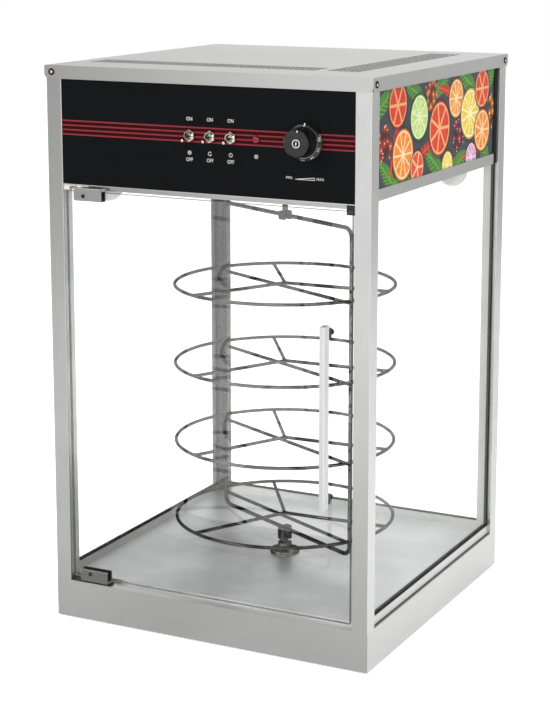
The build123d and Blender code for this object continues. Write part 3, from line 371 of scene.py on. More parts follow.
def cut_slice(tree, below, flat, centre, radius, rind, flesh, seams, wedges):
    """Print one round cut slice of fruit over a colour and return the new colour."""
    offset = add(tree, "VectorMath", "SUBTRACT", {0: flat, 1: (*centre, 0)})
    away = add(tree, "VectorMath", "LENGTH", {0: offset})
    share = add(tree, "Math", "DIVIDE", {0: away, 1: radius})
    split = add(tree, "SeparateXYZ", {}, {0: offset})
    angle = add(tree, "Math", "ARCTAN2", {0: split.outputs[1], 1: split.outputs[0]})
    turn = add(tree, "Math", "MULTIPLY_ADD", {0: angle, 1: wedges / FULL_TURN, 2: 20.0})
    part = add(tree, "Math", "PINGPONG", {0: turn, 1: 0.5})
    width = add(tree, "Math", "MULTIPLY", {0: part, 1: share})
    seam = add(tree, "MapRange", {}, {0: width, 1: 0.02, 2: 0.09, 3: 0.0, 4: 1.0})
    pulp = add(tree, "TexNoise", {}, {"Vector": flat, "Scale": 1 / (4.55 * MM), "Detail": 3.0})
    juice = add(tree, "MapRange", {}, {0: pulp, 1: LOW, 2: HIGH, 3: 0.72, 4: 1.25})
    wet = add(tree, "VectorMath", "SCALE", {0: rgba(flesh)[:3], "Scale": juice})
    inside = add(tree, "Mix", IN_COLOUR, {0: seam, 6: rgba(seams), 7: wet})
    # From the middle out: pulp with pale seams, pith, rind and a soft shadow on what lies below.
    pith = add(tree, "MapRange", {}, {0: share, 1: 0.83, 2: 0.88, 3: 0.0, 4: 1.0})
    ring = add(tree, "Mix", IN_COLOUR, {0: pith, 6: inside, 7: rgba(seams)})
    ramp_step = add(tree, "MapRange", {}, {0: share, 1: 0.91, 2: 0.94, 3: 0.0, 4: 1.0})
    whole = add(tree, "Mix", IN_COLOUR, {0: ramp_step, 6: ring, 7: rgba(rind)})
    shadow = add(tree, "MapRange", {}, {0: share, 1: 1.0, 2: 1.16, 3: 0.25, 4: 1.0})
    dim = add(tree, "VectorMath", "SCALE", {0: below, "Scale": shadow})
    mask = add(tree, "Math", "LESS_THAN", {0: share, 1: 1.0})
    return add(tree, "Mix", IN_COLOUR, {0: mask, 6: dim, 7: whole})


def leaf(tree, below, flat, centre, length, width, turn, dark, light):
    """Print one pointed leaf or pod with a pale midrib over a colour and return the new colour."""
    local = add(
        tree,
        "Mapping",
        {"vector_type": "TEXTURE"},
        {"Vector": flat, "Location": (*centre, 0), "Rotation": (0, 0, turn), "Scale": (length, length, 1)},
    )
    split = add(tree, "SeparateXYZ", {}, {0: local})
    along = add(tree, "Math", "MULTIPLY", {0: split.outputs[0], 1: split.outputs[0]})
    swell = add(tree, "Math", "SUBTRACT", {0: 1.0, 1: along})
    half = add(tree, "Math", "MULTIPLY", {0: swell, 1: width / length})
    side = add(tree, "Math", "ABSOLUTE", {0: split.outputs[1]})
    mask = add(tree, "Math", "LESS_THAN", {0: side, 1: half})
    # Side veins slant away from the midrib.
    slant = add(tree, "Math", "MULTIPLY_ADD", {0: side, 1: -1.2, 2: split.outputs[0]})
    veins = add(tree, "Math", "PINGPONG", {0: slant, 1: 0.11})
    tone = add(tree, "MapRange", {}, {0: veins, 1: 0.0, 2: 0.05, 3: 1.0, 4: 0.2})
    rib = add(tree, "MapRange", {}, {0: side, 1: 0.01, 2: 0.05, 3: 1.0, 4: 0.0})
    most = add(tree, "Math", "MAXIMUM", {0: tone, 1: rib})
    whole = add(tree, "Mix", IN_COLOUR, {0: most, 6: rgba(dark), 7: rgba(light)})
    return add(tree, "Mix", IN_COLOUR, {0: mask, 6: below, 7: whole})


def berries(tree, below, flat, centre, radius, dark, light, size):
    """Print a round heap of small round fruit over a colour and return the new colour."""
    offset = add(tree, "VectorMath", "DISTANCE", {0: flat, 1: (*centre, 0)})
    cells = add(tree, "TexVoronoi", {"voronoi_dimensions": "2D"}, {"Vector": flat, "Scale": 1 / size})
    dome = add(tree, "MapRange", {}, {0: cells, 1: 0.05, 2: 0.62, 3: 1.15, 4: 0.12})
    pick = add(tree, "SeparateColor", {}, {0: cells.outputs["Color"]})
    hue = add(tree, "Mix", IN_COLOUR, {0: pick.outputs[0], 6: rgba(dark), 7: rgba(light)})
    fruit = add(tree, "VectorMath", "SCALE", {0: hue, "Scale": dome})
    shine = add(tree, "Math", "LESS_THAN", {0: cells, 1: 0.09})
    glint = add(tree, "Mix", IN_COLOUR, {0: shine, 6: fruit, 7: rgba("#ffe9d8")})
    rough = add(tree, "Math", "MULTIPLY_ADD", {0: cells, 1: size, 2: offset})
    mask = add(tree, "Math", "LESS_THAN", {0: rough, 1: radius})
    return add(tree, "Mix", IN_COLOUR, {0: mask, 6: below, 7: glint})


def picture_film():
    """Printed film with a satin face: plain fruit slices, leaves and berries on dark slate."""
    material, tree, surface, place = start("printed_picture_film", Roughness=0.3, Specular_IOR_Level=0.15)
    split = add(tree, "SeparateXYZ", {}, {0: place})
    flat = add(tree, "CombineXYZ", {}, {0: split.outputs[1], 1: split.outputs[2]})
    clefts = {"Vector": flat, "Scale": 1 / (33.3 * MM), "Detail": 6.0, "Roughness": 0.7}
    stone = add(tree, "TexNoise", {}, clefts)
    colour = add(tree, "Mix", IN_COLOUR, {0: stone, 6: rgba("#0e1114"), 7: rgba("#4a545c")})
    # Places and sizes in millimetres, then the turn in radians.
    greens = ("#1f5a1e", "#6fae3e")
    reds = ("#8e0f0f", "#e04a24")
    for across, up, length, width, turn, (dark, light) in (
        (-196, 742, 40, 13, 0.5, greens),
        (-178, 650, 34, 12, 2.5, greens),
        (-120, 645, 44, 14, 0.2, greens),
        (-92, 752, 38, 12, 2.8, greens),
        (-20, 650, 42, 15, 2.6, greens),
        (2, 752, 36, 12, 0.4, greens),
        (70, 640, 40, 13, 0.3, greens),
        (98, 752, 42, 14, 2.7, greens),
        (168, 648, 38, 14, 2.3, greens),
        (186, 746, 34, 12, 0.6, greens),
        (-150, 700, 62, 8, 1.2, reds),
        (-58, 668, 58, 8, 0.3, reds),
        (44, 738, 60, 8, 2.9, reds),
        (134, 652, 56, 8, 0.15, reds),
    ):
        colour = leaf(tree, colour, flat, (across * MM, up * MM), length * MM, width * MM, turn, dark, light)
    for across, up, radius, dark, light, size in (
        (-188, 692, 27, "#7a0c12", "#e2521c", 13),
        (-34, 740, 25, "#a3170f", "#f08a1c", 11),
        (64, 676, 26, "#5d0f38", "#c8283c", 12),
        (196, 700, 26, "#9c1a10", "#f0a024", 12),
    ):
        colour = berries(tree, colour, flat, (across * MM, up * MM), radius * MM, dark, light, size * MM)
    for across, up, radius, rind, flesh, seams, wedges in (
        (-146, 738, 30, "#9d1510", "#d43420", "#f0b070", 6),
        (-128, 672, 34, "#d86a0c", "#f08c22", "#f8e2b4", 10),
        (-74, 716, 31, "#2c6a26", "#c4dc86", "#e6f0be", 9),
        (-80, 650, 23, "#a0150f", "#e04a30", "#f4c890", 5),
        (-2, 694, 38, "#a21410", "#da3820", "#f2b878", 7),
        (28, 640, 20, "#d2a414", "#f0d450", "#fbf2c4", 9),
        (58, 730, 27, "#dc7810", "#f29a30", "#fae6c0", 10),
        (112, 704, 36, "#c89c12", "#eed04a", "#fbf4cc", 11),
        (118, 642, 21, "#7c1f4c", "#d8a0c0", "#f4e4ee", 8),
        (158, 736, 28, "#a01812", "#dc3c24", "#f2b878", 6),
        (160, 676, 30, "#d8700e", "#f0902a", "#f8e2b4", 9),
    ):
        colour = cut_slice(
            tree, colour, flat, (across * MM, up * MM), radius * MM, rind, flesh, seams, wedges
        )
    fill(tree, surface, {"Base Color": colour})
    return material


def build_finishes():
    """Make every finish once and return them by name."""
    colours = bpy.context.scene.food_case_colours
    steel = colours.steel
    # Brush lines run along the axes whose factor is small.
    rising, flat, across = (1.0, 1.0, 0.012), (0.012, 0.012, 1.0), (0.012, 1.0, 1.0)
    inward, short = (1.0, 0.05, 1.0), (0.02, 1.0, 1.0)
    return {
        "upright": brushed_sheet("brushed_stainless_upright", steel, rising, 0.32),
        "level": brushed_sheet("brushed_stainless_level", steel, flat, 0.36, 0.015, 0.02),
        # Painted shade: the lid and the head rails take a slightly darker copy of the stainless.
        "lid": brushed_sheet("brushed_stainless_lid_painted_shade", "#bdbdbb", across, 0.36, 0.02, 0.03),
        # Painted shade: on the back left post, the faces inside the cabinet fall to a tenth of the colour.
        "back_post": brushed_sheet("brushed_stainless_back_post_painted_shade", steel, rising, 0.34, 0.06, 0.05, 0.1),
        # Painted shade: the ceiling takes a much darker copy of the stainless, for the shade inside the
        # cabinet.
        "shaded": brushed_sheet("dull_stainless_ceiling_painted_shade", "#4e4d4b", inward, 0.5, 0.1),
        "floor": brushed_sheet("worn_stainless_floor", "#cccdcd", inward, 0.42, 0.01, 0.14),
        # Painted dark reflection: the wire's colour and edge tint are far darker than stainless.
        "wire": polished("polished_stainless_wire_painted_dark", colours.wire, 0.1, 11.1 * MM, "#242220"),
        "plated": polished("nickel_plate", "#d2cabd", 0.14, 2.5 * MM, "#5c5850"),
        "turned": polished("turned_steel", "#4e4b48", 0.18, 3.33 * MM, "#2c2a28"),
        # Painted shade: the bottom hinge clamp takes a darker copy of the clamps' satin nickel.
        "low_clamp": brushed_sheet("satin_nickel_low_clamp_painted_shade", "#81817f", short, 0.34),
        "flange": polished("turned_stainless_flange", "#7d7b79", 0.24, 3.33 * MM, "#3c3a38"),
        "clamp": brushed_sheet("satin_nickel_clamp", "#b2b2b0", short, 0.34),
        "aluminium": brushed_sheet("satin_anodised_aluminium", "#d9dbdb", rising, 0.4, 0.02, 0.02),
        "zinc": galvanised("galvanised_sheet", "#8f9395"),
        "heater": polished("oxidised_heater_sheath", "#4c453f", 0.45, 16.7 * MM),
        "rubber": moulded("black_rubber", "#141414", 0.72, shine=0.2),
        "plastic": moulded("black_nylon", "#121315", 0.45),
        "phenolic": moulded("black_phenolic", "#0c0e11", 0.22, 1.4 * MM, 0.01 * MM),
        "ceramic": moulded("white_glazed_ceramic", "#dedad0", 0.2, 2.0 * MM, 0.02 * MM),
        "lamp": moulded("frosted_lamp_glass", "#dcdad4", 0.38, 0.8 * MM, 0.01 * MM),
        "ink": moulded("white_print", colours.print_white, 0.5, 0.5 * MM, 0.01 * MM),
        "jewel": moulded("red_lens", colours.jewel, 0.14, 2.0 * MM, 0.02 * MM),
        # Painted shade: matt black with no shine, filling the lid's vent holes.
        "mesh": moulded("black_painted_shade", "#141312", 0.9, 0.9 * MM, 0.3 * MM, 0.0),
        "glass": float_glass("toughened_float_glass", 0.07, 0.3),
        "door_glass": float_glass("toughened_door_glass", 0.07, 0.3, 1.0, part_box("door_glass")),
        # Painted reflection: the right pane is only partly clear, so a white diffuse veil lies over what
        # stands behind it.
        "side_glass": float_glass("toughened_side_glass_painted_veil", 0.12, 0.5, 0.35),
        "panel": printed_panel(),
        "film": picture_film(),
    }


# ---------------------------------------------------------------- operators
class FOODCASE_OT_sheet_metal(bpy.types.Operator):
    """Dress the base, posts, rails, lid, floor and back in stainless sheet"""

    bl_idname = "foodcase.sheet_metal"
    bl_label = "Sheet metal"

    def execute(self, context):
        dress("upright", "post_front_left", "post_front_right", "post_back_right", "back_head_panel")
        dress("back_post", "post_back_left")
        dress("shaded", "ceiling_panel")
        dress("level", "front_skirt", "right_skirt", "back_skirt", "left_skirt", "front_head_rail")
        dress("level", "left_glass_channel", "right_glass_channel", "back_glass_channel")
        dress("lid", "lid", "left_head_rail", "right_head_rail")
        dress("floor", "floor_plate")
        dress("zinc", "bottom_cover", "heater_brackets", "gear_motor")
        return {"FINISHED"}


class FOODCASE_OT_glazing(bpy.types.Operator):
    """Dress the glass walls, the door glass and their rubber"""

    bl_idname = "foodcase.glazing"
    bl_label = "Glazing"

    def execute(self, context):
        dress("glass", "left_glass", "back_glass")
        dress("door_glass", "door_glass")
        dress("side_glass", "right_glass")
        dress("rubber", "glass_gaskets", "clamp_liners", "rubber_feet")
        return {"FINISHED"}


class FOODCASE_OT_pictures(bpy.types.Operator):
    """Dress the two side pictures with their printed film"""

    bl_idname = "foodcase.pictures"
    bl_label = "Side pictures"

    def execute(self, context):
        dress("film", "left_picture_panel", "right_picture_panel")
        return {"FINISHED"}


def legend(text, height, place, width=1.0):
    """Flat print of a word or figure, made a mesh and then placed."""
    capital = 0.7  # height of a capital letter, as a share of the font's size
    curve = bpy.data.curves.new("legend", "FONT")
    curve.body = text
    curve.size = height / capital
    curve.align_x = "CENTER"
    curve.align_y = "CENTER"
    curve.extrude = 0.03 * MM
    curve.offset = -0.006 * height
    curve.resolution_u = 4
    holder = bpy.data.objects.new("legend", curve)
    mesh = bpy.data.meshes.new_from_object(holder)
    bpy.data.objects.remove(holder)
    bpy.data.curves.remove(curve)
    mesh.transform(place @ Matrix.Diagonal((width, 1, 1, 1)))
    return mesh


def arc(mesh_data, radius, width, begin, sweep, place):
    """Flat curved stroke of a printed symbol."""
    turned = place @ Matrix.Rotation(begin, 4, "Z")
    ends = [mesh_data.verts.new(turned @ Vector((radius + side * width / 2, 0, 0))) for side in (-1, 1)]
    bmesh.ops.spin(
        mesh_data,
        geom=[*ends, mesh_data.edges.new(ends)],
        cent=place.translation,
        axis=place.to_3x3() @ Vector((0, 0, 1)),
        angle=sweep,
        steps=24,
        use_merge=sweep == FULL_TURN,
    )


def stroke(mesh_data, begin, end, width, place):
    """Flat straight stroke of a printed symbol."""
    run = Vector((*end, 0)) - Vector((*begin, 0))
    centre = Matrix.Translation((Vector((*begin, 0)) + Vector((*end, 0))) / 2)
    turn = Matrix.Rotation(math.atan2(run.y, run.x), 4, "Z")
    size = Matrix.Diagonal((run.length, width, 1, 1))
    bmesh.ops.create_grid(
        mesh_data, x_segments=1, y_segments=1, size=0.5, matrix=place @ centre @ turn @ size
    )


class FOODCASE_OT_control_panel(bpy.types.Operator):
    """Dress the control panel and print its legends and symbols"""

    bl_idname = "foodcase.control_panel"
    bl_label = "Control panel"

    def execute(self, context):
        dress("panel", "front_control_panel")
        sizes = context.scene.food_case_sizes
        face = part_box("front_control_panel")[0][1] - 0.05 * MM
        level = middle("switch_nuts").z
        line = sizes.symbol_line
        prints = bmesh.new()

        def on_panel(across, up):
            return Matrix.Translation((across, face, up)) @ FACING

        columns = [middle(f"{name}_switch_lever").x for name in SWITCHES]
        for across in columns:
            for text, rise in (("ON", 21.6 * MM), ("OFF", -31.5 * MM)):
                prints.from_mesh(legend(text, sizes.legend, on_panel(across, level + rise), 0.85))
        knob = middle("thermostat_knob")
        scale = on_panel(knob.x, knob.z - 47 * MM)
        for text, shift in (("MIN", -22 * MM), ("MAX", 22 * MM)):
            prints.from_mesh(legend(text, 3.5 * MM, scale @ Matrix.Translation((shift, 0, 0))))
        lamp, turning, power = (on_panel(across, level - 22.5 * MM) for across in columns)
        # A sun stands for the light, a turning arrow for the rack and a broken ring for the mains.
        arc(prints, 1.3 * MM, line, 0, FULL_TURN, lamp)
        for ray in range(8):
            way = Matrix.Rotation(FULL_TURN * ray / 8, 4, "Z")
            stroke(prints, (2.0 * MM, 0), (3.2 * MM, 0), line, lamp @ way)
        arc(prints, 2.5 * MM, line, 0.6, 4.9, turning)
        stroke(prints, (0.9 * MM, -2.3 * MM), (2.3 * MM, -0.9 * MM), line, turning)
        stroke(prints, (0.4 * MM, -0.9 * MM), (2.3 * MM, -0.9 * MM), line, turning)
        arc(prints, 2.4 * MM, line, 2.2, 5.05, power)
        stroke(prints, (0, 0.6 * MM), (0, 3.2 * MM), line, power)
        # A crossed ring is the sign for a lamp, and a wedge that grows is the sign for more heat.
        pilot = on_panel(middle("pilot_lamp").x, level - 22.5 * MM)
        arc(prints, 2.4 * MM, line, 0, FULL_TURN, pilot)
        stroke(prints, (-1.7 * MM, -1.7 * MM), (1.7 * MM, 1.7 * MM), line, pilot)
        stroke(prints, (-1.7 * MM, 1.7 * MM), (1.7 * MM, -1.7 * MM), line, pilot)
        stroke(prints, (-14 * MM, -1.4 * MM), (14 * MM, -1.4 * MM), line, scale)
        stroke(prints, (-14 * MM, -1.4 * MM), (14 * MM, 1.6 * MM), line, scale)
        stroke(prints, (14 * MM, -1.6 * MM), (14 * MM, 1.8 * MM), line, scale)
        finish_piece("panel_legends", prints, "ink", "cabinet")
        return {"FINISHED"}


class FOODCASE_OT_switches(bpy.types.Operator):
    """Turn the toggle levers, their threaded bushes and the hexagon nuts on the panel"""

    bl_idname = "foodcase.switches"
    bl_label = "Switches"

    def execute(self, context):
        dress("plastic", "switch_bodies")
        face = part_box("front_control_panel")[0][1]
        level = middle("switch_nuts").z
        rest_tilt = Matrix.Rotation(math.radians(12.5), 4, "X")
        bat = (
            (0, -3.2), (1.9, -2.6), (3.1, -1.0), (3.1, 0.8), (2.0, 2.4), (1.5, 3.4), (1.45, 6.0),
            (1.6, 10.0), (1.9, 15.0), (2.25, 19.0), (2.38, 21.0), (2.1, 22.5), (1.3, 23.15), (0, 23.35),
        )
        # Thread crests every 0.8 mm down the outside, then a chamfer and the throat the lever swings in.
        crests = [(6.4 if step % 2 else 6.06, 0.4 + 0.4 * step) for step in range(12)]
        bush = [(6.06, 0.0), *crests, (6.06, 5.3), (5.8, 5.55), (4.7, 5.55), (4.3, 5.2), (3.9, 1.2), (0, 1.2)]
        nuts = bmesh.new()
        bushes = bmesh.new()
        for name in SWITCHES:
            node = f"{name}_switch_lever"
            across = middle(node).x
            pivot = Matrix.Translation((across, face + 1.5 * MM, level))
            lever = bmesh.new()
            lathe(lever, in_millimetres(bat), pivot @ rest_tilt @ FACING, 24)
            finish_piece(f"{name}_toggle", lever, "plated", f"{name}_lever", (node,))
            spot = Matrix.Translation((across, face, level)) @ FACING
            lathe(bushes, in_millimetres(bush), spot, 32)
            low, high = 0.05 * MM, 2.5 * MM
            made = bmesh.ops.create_cone(
                nuts, cap_ends=True, segments=6, radius1=8.3 * MM, radius2=8.3 * MM, depth=high - low,
                matrix=spot @ Matrix.Translation((0, 0, (low + high) / 2)),
            )["verts"]
            top = {vert for vert in made if vert.co.y < face - (low + high) / 2}
            rim = {edge for vert in top for edge in vert.link_edges if edge.other_vert(vert) in top}
            bmesh.ops.bevel(
                nuts, geom=list(rim), offset=0.5 * MM, offset_type="OFFSET", affect="EDGES", segments=3,
                profile=0.5, material=-1,
            )
        finish_piece("hexagon_nuts", nuts, "plated", "cabinet", ("switch_nuts",), 25.0)
        finish_piece("threaded_bushes", bushes, "plated", "cabinet", (), 25.0)
        return {"FINISHED"}


class FOODCASE_OT_lamps(bpy.types.Operator):
    """Dress the pilot lamp, the cabinet lamps and their holders"""

    bl_idname = "foodcase.lamps"
    bl_label = "Lamps"

    def execute(self, context):
        dress("jewel", "pilot_lamp")
        dress("lamp", "lamp_bulbs")
        dress("ceramic", "lamp_holders", "hinge_top_bracket")
        return {"FINISHED"}


class FOODCASE_OT_knob(bpy.types.Operator):
    """Turn the thermostat knob with its fluted grip, index line and dial figures"""

    bl_idname = "foodcase.knob"
    bl_label = "Thermostat knob"

    def execute(self, context):
        sizes = context.scene.food_case_sizes
        centre = middle("thermostat_knob")
        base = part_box("front_control_panel")[0][1] - 1.0 * MM
        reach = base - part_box("thermostat_knob")[0][1]
        spot = Matrix.Translation((centre.x, base, centre.z)) @ FACING
        knob = bmesh.new()
        skirt = 25.5 * MM
        outline = (
            (0, -8.0 * MM), (3.0 * MM, -8.0 * MM), (3.0 * MM, 0.05 * MM), (skirt - 1.2 * MM, 0.05 * MM),
            (skirt - 0.3 * MM, 0.5 * MM), (skirt - 0.3 * MM, 1.2 * MM), (22.6 * MM, 4.4 * MM),
            (21.4 * MM, 5.0 * MM), (19.3 * MM, 5.1 * MM), (17.6 * MM, 4.6 * MM),
        )
        lathe(knob, outline, spot, 80)
        seat, flute_floor, shoulder_drop = 4.6 * MM, 0.965, 0.9 * MM
        grip = reach - seat
        sides = 2 * sizes.knob_flutes
        made = bmesh.ops.create_cone(
            knob, cap_ends=True, segments=sides, radius1=18.8 * MM, radius2=18.0 * MM, depth=grip,
            matrix=spot @ Matrix.Translation((0, 0, seat + grip / 2)),
        )["verts"]
        for vert in made:
            local = spot.inverted() @ vert.co
            if round(math.atan2(local.y, local.x) / FULL_TURN * sides) % 2:
                local.xy *= flute_floor
                vert.co = spot @ local
        shoulder = [vert for vert in made if vert.co.y < base - grip]
        top = next(face for face in knob.faces if set(face.verts) == set(shoulder))
        bmesh.ops.inset_region(knob, faces=[top], thickness=shoulder_drop, depth=0.0)
        for vert in shoulder:
            vert.co.y += shoulder_drop
        bmesh.ops.inset_region(knob, faces=[top], thickness=10.8 * MM, depth=0.0)
        bmesh.ops.inset_region(knob, faces=[top], thickness=0.4 * MM, depth=-0.3 * MM)
        finish_piece("thermostat_grip", knob, "phenolic", "knob", ("thermostat_knob",), 30.0)
        marks = bmesh.new()
        # Figures run round the lower half of the skirt, in degrees from the right, with five ticks between.
        first, apart, ticks = -158, 34, 6
        cone = Matrix.Translation((22.9 * MM, 0, 4.35 * MM)) @ Matrix.Rotation(0.93, 4, "Y")
        for step, value in enumerate(("50", "100", "150", "200", "250", "300")):
            turn = Matrix.Rotation(math.radians(first + apart * step), 4, "Z")
            lay = spot @ turn @ cone @ Matrix.Rotation(-FULL_TURN / 4, 4, "Z")
            marks.from_mesh(legend(value, sizes.figure, lay, 0.9))
        rim = Matrix.Translation((20.4 * MM, 0, 5.2 * MM))
        for step in range(5 * ticks + 1):
            turn = Matrix.Rotation(math.radians(first + apart * step / ticks), 4, "Z")
            reach_in = 0.9 * MM if step % ticks else 1.6 * MM
            stroke(marks, (-reach_in / 2, 0), (reach_in / 2, 0), 0.5 * MM, spot @ turn @ rim)
        index = Matrix.Rotation(math.radians(84), 4, "Z")
        lip = Matrix.Translation((22.2 * MM, 0, 4.95 * MM)) @ Matrix.Rotation(0.5, 4, "Y")
        stroke(marks, (-2.3 * MM, 0), (2.3 * MM, 0), 1.3 * MM, spot @ index @ lip)
        crown = Matrix.Translation((0, 0, reach + 0.02 * MM))
        stroke(marks, (14.2 * MM, 0), (17.0 * MM, 0), 1.3 * MM, spot @ index @ crown)
        arc(marks, 4.9 * MM, 1.0 * MM, 0, FULL_TURN, spot @ crown)
        stroke(marks, (-2.4 * MM, 0), (2.4 * MM, 0), 1.1 * MM, spot @ index @ crown)
        finish_piece("dial_figures", marks, "ink", "knob")
        dress("plastic", "thermostat_body")
        return {"FINISHED"}


class FOODCASE_OT_rack(bpy.types.Operator):
    """Bend and weld the wire shelves and dress the turning parts"""

    bl_idname = "foodcase.rack"
    bl_label = "Wire rack"

    def execute(self, context):
        sizes = context.scene.food_case_sizes
        spokes, first_spoke, crossing_bead, bead_squash = 3, -117, 0.92, 0.78
        for number in range(1, 5):
            node = f"rack_shelf_{number}"
            low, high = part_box(node)
            level = (low[2] + high[2]) / 2
            wire = high[2] - low[2]
            radius = (high[0] - low[0] - wire) / 2
            shelf = bmesh.new()
            bmesh.ops.create_circle(
                shelf, cap_ends=False, segments=WIRE_SIDES, radius=wire / 2,
                matrix=Matrix.Translation((radius, 0, level)) @ FACING,
            )
            bmesh.ops.spin(
                shelf, geom=list(shelf.verts) + list(shelf.edges), cent=(0, 0, level), axis=(0, 0, 1),
                angle=FULL_TURN, steps=120, use_merge=True,
            )
            hub = Vector((0, 0, level))
            flatten = Matrix.Diagonal((1, 1, bead_squash, 1))
            for spoke in range(spokes):
                angle = math.radians(first_spoke + 360 / spokes * spoke)
                way = Vector((math.cos(angle), math.sin(angle), 0))
                rod(shelf, hub, hub + way * radius, wire)
                for spot, bead in ((radius - wire / 2, 1.0), (wire / 2, crossing_bead)):
                    bmesh.ops.create_uvsphere(
                        shelf, u_segments=14, v_segments=10, radius=sizes.weld * bead / 2,
                        matrix=Matrix.Translation(hub + way * spot) @ flatten,
                    )
            finish_piece(f"wire_shelf_{number}", shelf, "wire", "rack", (node,))
        dress("wire", "rack_frame")
        dress("turned", "drive_fork", "top_pivot_pin", "top_pivot_bush")
        dress("flange", "bearing_flange")
        dress("plated", "flange_screws")
        return {"FINISHED"}


class FOODCASE_OT_door(bpy.types.Operator):
    """Dress the door's clamps, handle, pivots and catch"""

    bl_idname = "foodcase.door"
    bl_label = "Door fittings"

    def execute(self, context):
        dress("clamp", "top_hinge_clamp")
        dress("low_clamp", "bottom_hinge_clamp")
        dress("turned", "clamp_screws")
        dress("aluminium", "door_handle")
        dress("plastic", "handle_standoffs", "hinge_bottom_plate", "door_catch")
        return {"FINISHED"}


class FOODCASE_OT_lid_screws(bpy.types.Operator):
    """Turn the lid's pan head screws, with black rings round them as painted dark reflection"""

    bl_idname = "foodcase.lid_screws"
    bl_label = "Lid screws"

    def execute(self, context):
        low, high = (Vector(corner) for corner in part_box("lid"))
        outer_low, outer_high = (Vector(corner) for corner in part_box("lid_screws"))
        proud = low.x - outer_low.x
        level = (outer_low.z + outer_high.z) / 2
        inset = context.scene.food_case_sizes.lid_screw_inset
        quarter = FULL_TURN / 4
        # Front left and back right on the long faces, and four on the sides.
        places = [
            ((low.x + inset, low.y), 0), ((high.x - inset, high.y), 2 * quarter),
            ((high.x, low.y + inset), quarter), ((high.x, high.y - inset), quarter),
            ((low.x, low.y + inset), -quarter), ((low.x, high.y - inset), -quarter),
        ]
        pan = ((0, 0.05), (2.4, 0.05), (2.5, 0.6), (2.3, 1.4), (1.8, 1.9), (1.0, 2.2), (0, 2.25))
        # The black ring round each head is painted dark reflection in the chrome.
        ring = ((2.2, 0.0), (4.7, 0.0), (4.7, 0.6), (4.3, 1.0), (2.2, 1.0), (2.2, 0.0))
        # The heads are drawn 2.3 mm proud and then raised to the CAD screws' own height.
        lift = proud / (2.3 * MM)
        heads, reflection_rings = bmesh.new(), bmesh.new()
        for (across, along), turn in places:
            spot = Matrix.Translation((across, along, level)) @ Matrix.Rotation(turn, 4, "Z") @ FACING
            lathe(heads, in_millimetres(pan, lift), spot, 24)
            lathe(reflection_rings, in_millimetres(ring, lift), spot, 28)
        finish_piece("lid_screw_heads", heads, "plated", "cabinet", ("lid_screws",), 40.0)
        finish_piece("lid_painted_reflection_rings", reflection_rings, "rubber", "cabinet", (), 30.0)
        return {"FINISHED"}


class FOODCASE_OT_vent_painted_shade(bpy.types.Operator):
    """Fill the lid's vent holes with matt black disks, painted shade for the dark space under the lid"""

    bl_idname = "foodcase.vent_gauze"
    bl_label = "Vent gauze"

    def execute(self, context):
        sizes = context.scene.food_case_sizes
        low, high = (Vector(corner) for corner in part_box("lid"))
        painted_shade = bmesh.new()
        # Six rows of holes run along the right side, a little behind the middle, and six along the front,
        # a little left of it.
        rows, side_holes, front_holes = 6, 45, 43
        side_shift, front_shift = 15 * MM, -46 * MM
        side = Vector((high.x - sizes.side_vent_inset, (low.y + high.y) / 2 + side_shift))
        front = Vector(((low.x + high.x) / 2 + front_shift, low.y + sizes.front_vent_inset))
        for centre, across, along in ((side, rows, side_holes), (front, front_holes, rows)):
            for column in range(across):
                for row in range(along):
                    step = Vector((column - (across - 1) / 2, row - (along - 1) / 2))
                    spot = centre + step * sizes.vent_pitch
                    # Each hole is closed just under the lid's top face by a matt black disk of painted shade.
                    bmesh.ops.create_circle(
                        painted_shade, cap_ends=True, segments=12, radius=sizes.vent_hole / 2,
                        matrix=Matrix.Translation((*spot, high.z - 0.03 * MM)),
                    )
        finish_piece("vent_painted_shade", painted_shade, "mesh", "cabinet")
        return {"FINISHED"}


class FOODCASE_OT_works(bpy.types.Operator):
    """Dress the heater, terminals and cable gland"""

    bl_idname = "foodcase.works"
    bl_label = "Heater and wiring"

    def execute(self, context):
        dress("heater", "heating_element")
        dress("plastic", "terminal_block", "cable_gland")
        return {"FINISHED"}


def card(name, corner, across, up, tone, glow=0.0):
    """Matt or lit studio card that shows only in shiny surfaces."""
    begin, across, up = Vector(corner), Vector(across), Vector(up)
    sheet = bmesh.new()
    corners = (begin, begin + across, begin + across + up, begin + up)
    sheet.faces.new([sheet.verts.new(spot) for spot in corners])
    material, tree, surface, place = start(
        name, Roughness=1.0, Specular_IOR_Level=0.0, Emission_Color=(1, 1, 1, 1), Emission_Strength=glow
    )
    weave = add(tree, "TexNoise", {}, {"Vector": place, "Scale": 1 / (333 * MM)})
    tint = add(tree, "MapRange", {}, {0: weave, 1: LOW, 2: HIGH, 3: tone * 0.9, 4: tone * 1.1})
    fill(tree, surface, {"Base Color": tint})
    piece = make_object(name, sheet, material)
    piece.visible_camera = piece.visible_diffuse = False
    piece.visible_shadow = piece.visible_transmission = False


def soft_lamp(name, place, aim, size, power):
    """Large soft lamp that points at a spot."""
    light = bpy.data.lights.new(name, "AREA")
    light.shape = "RECTANGLE"
    light.size, light.size_y = size
    light.energy = power
    lamp = bpy.data.objects.new(name, light)
    lamp.location = place
    lamp.rotation_euler = (Vector(aim) - Vector(place)).to_track_quat("-Z", "Y").to_euler()
    bpy.context.scene.collection.objects.link(lamp)


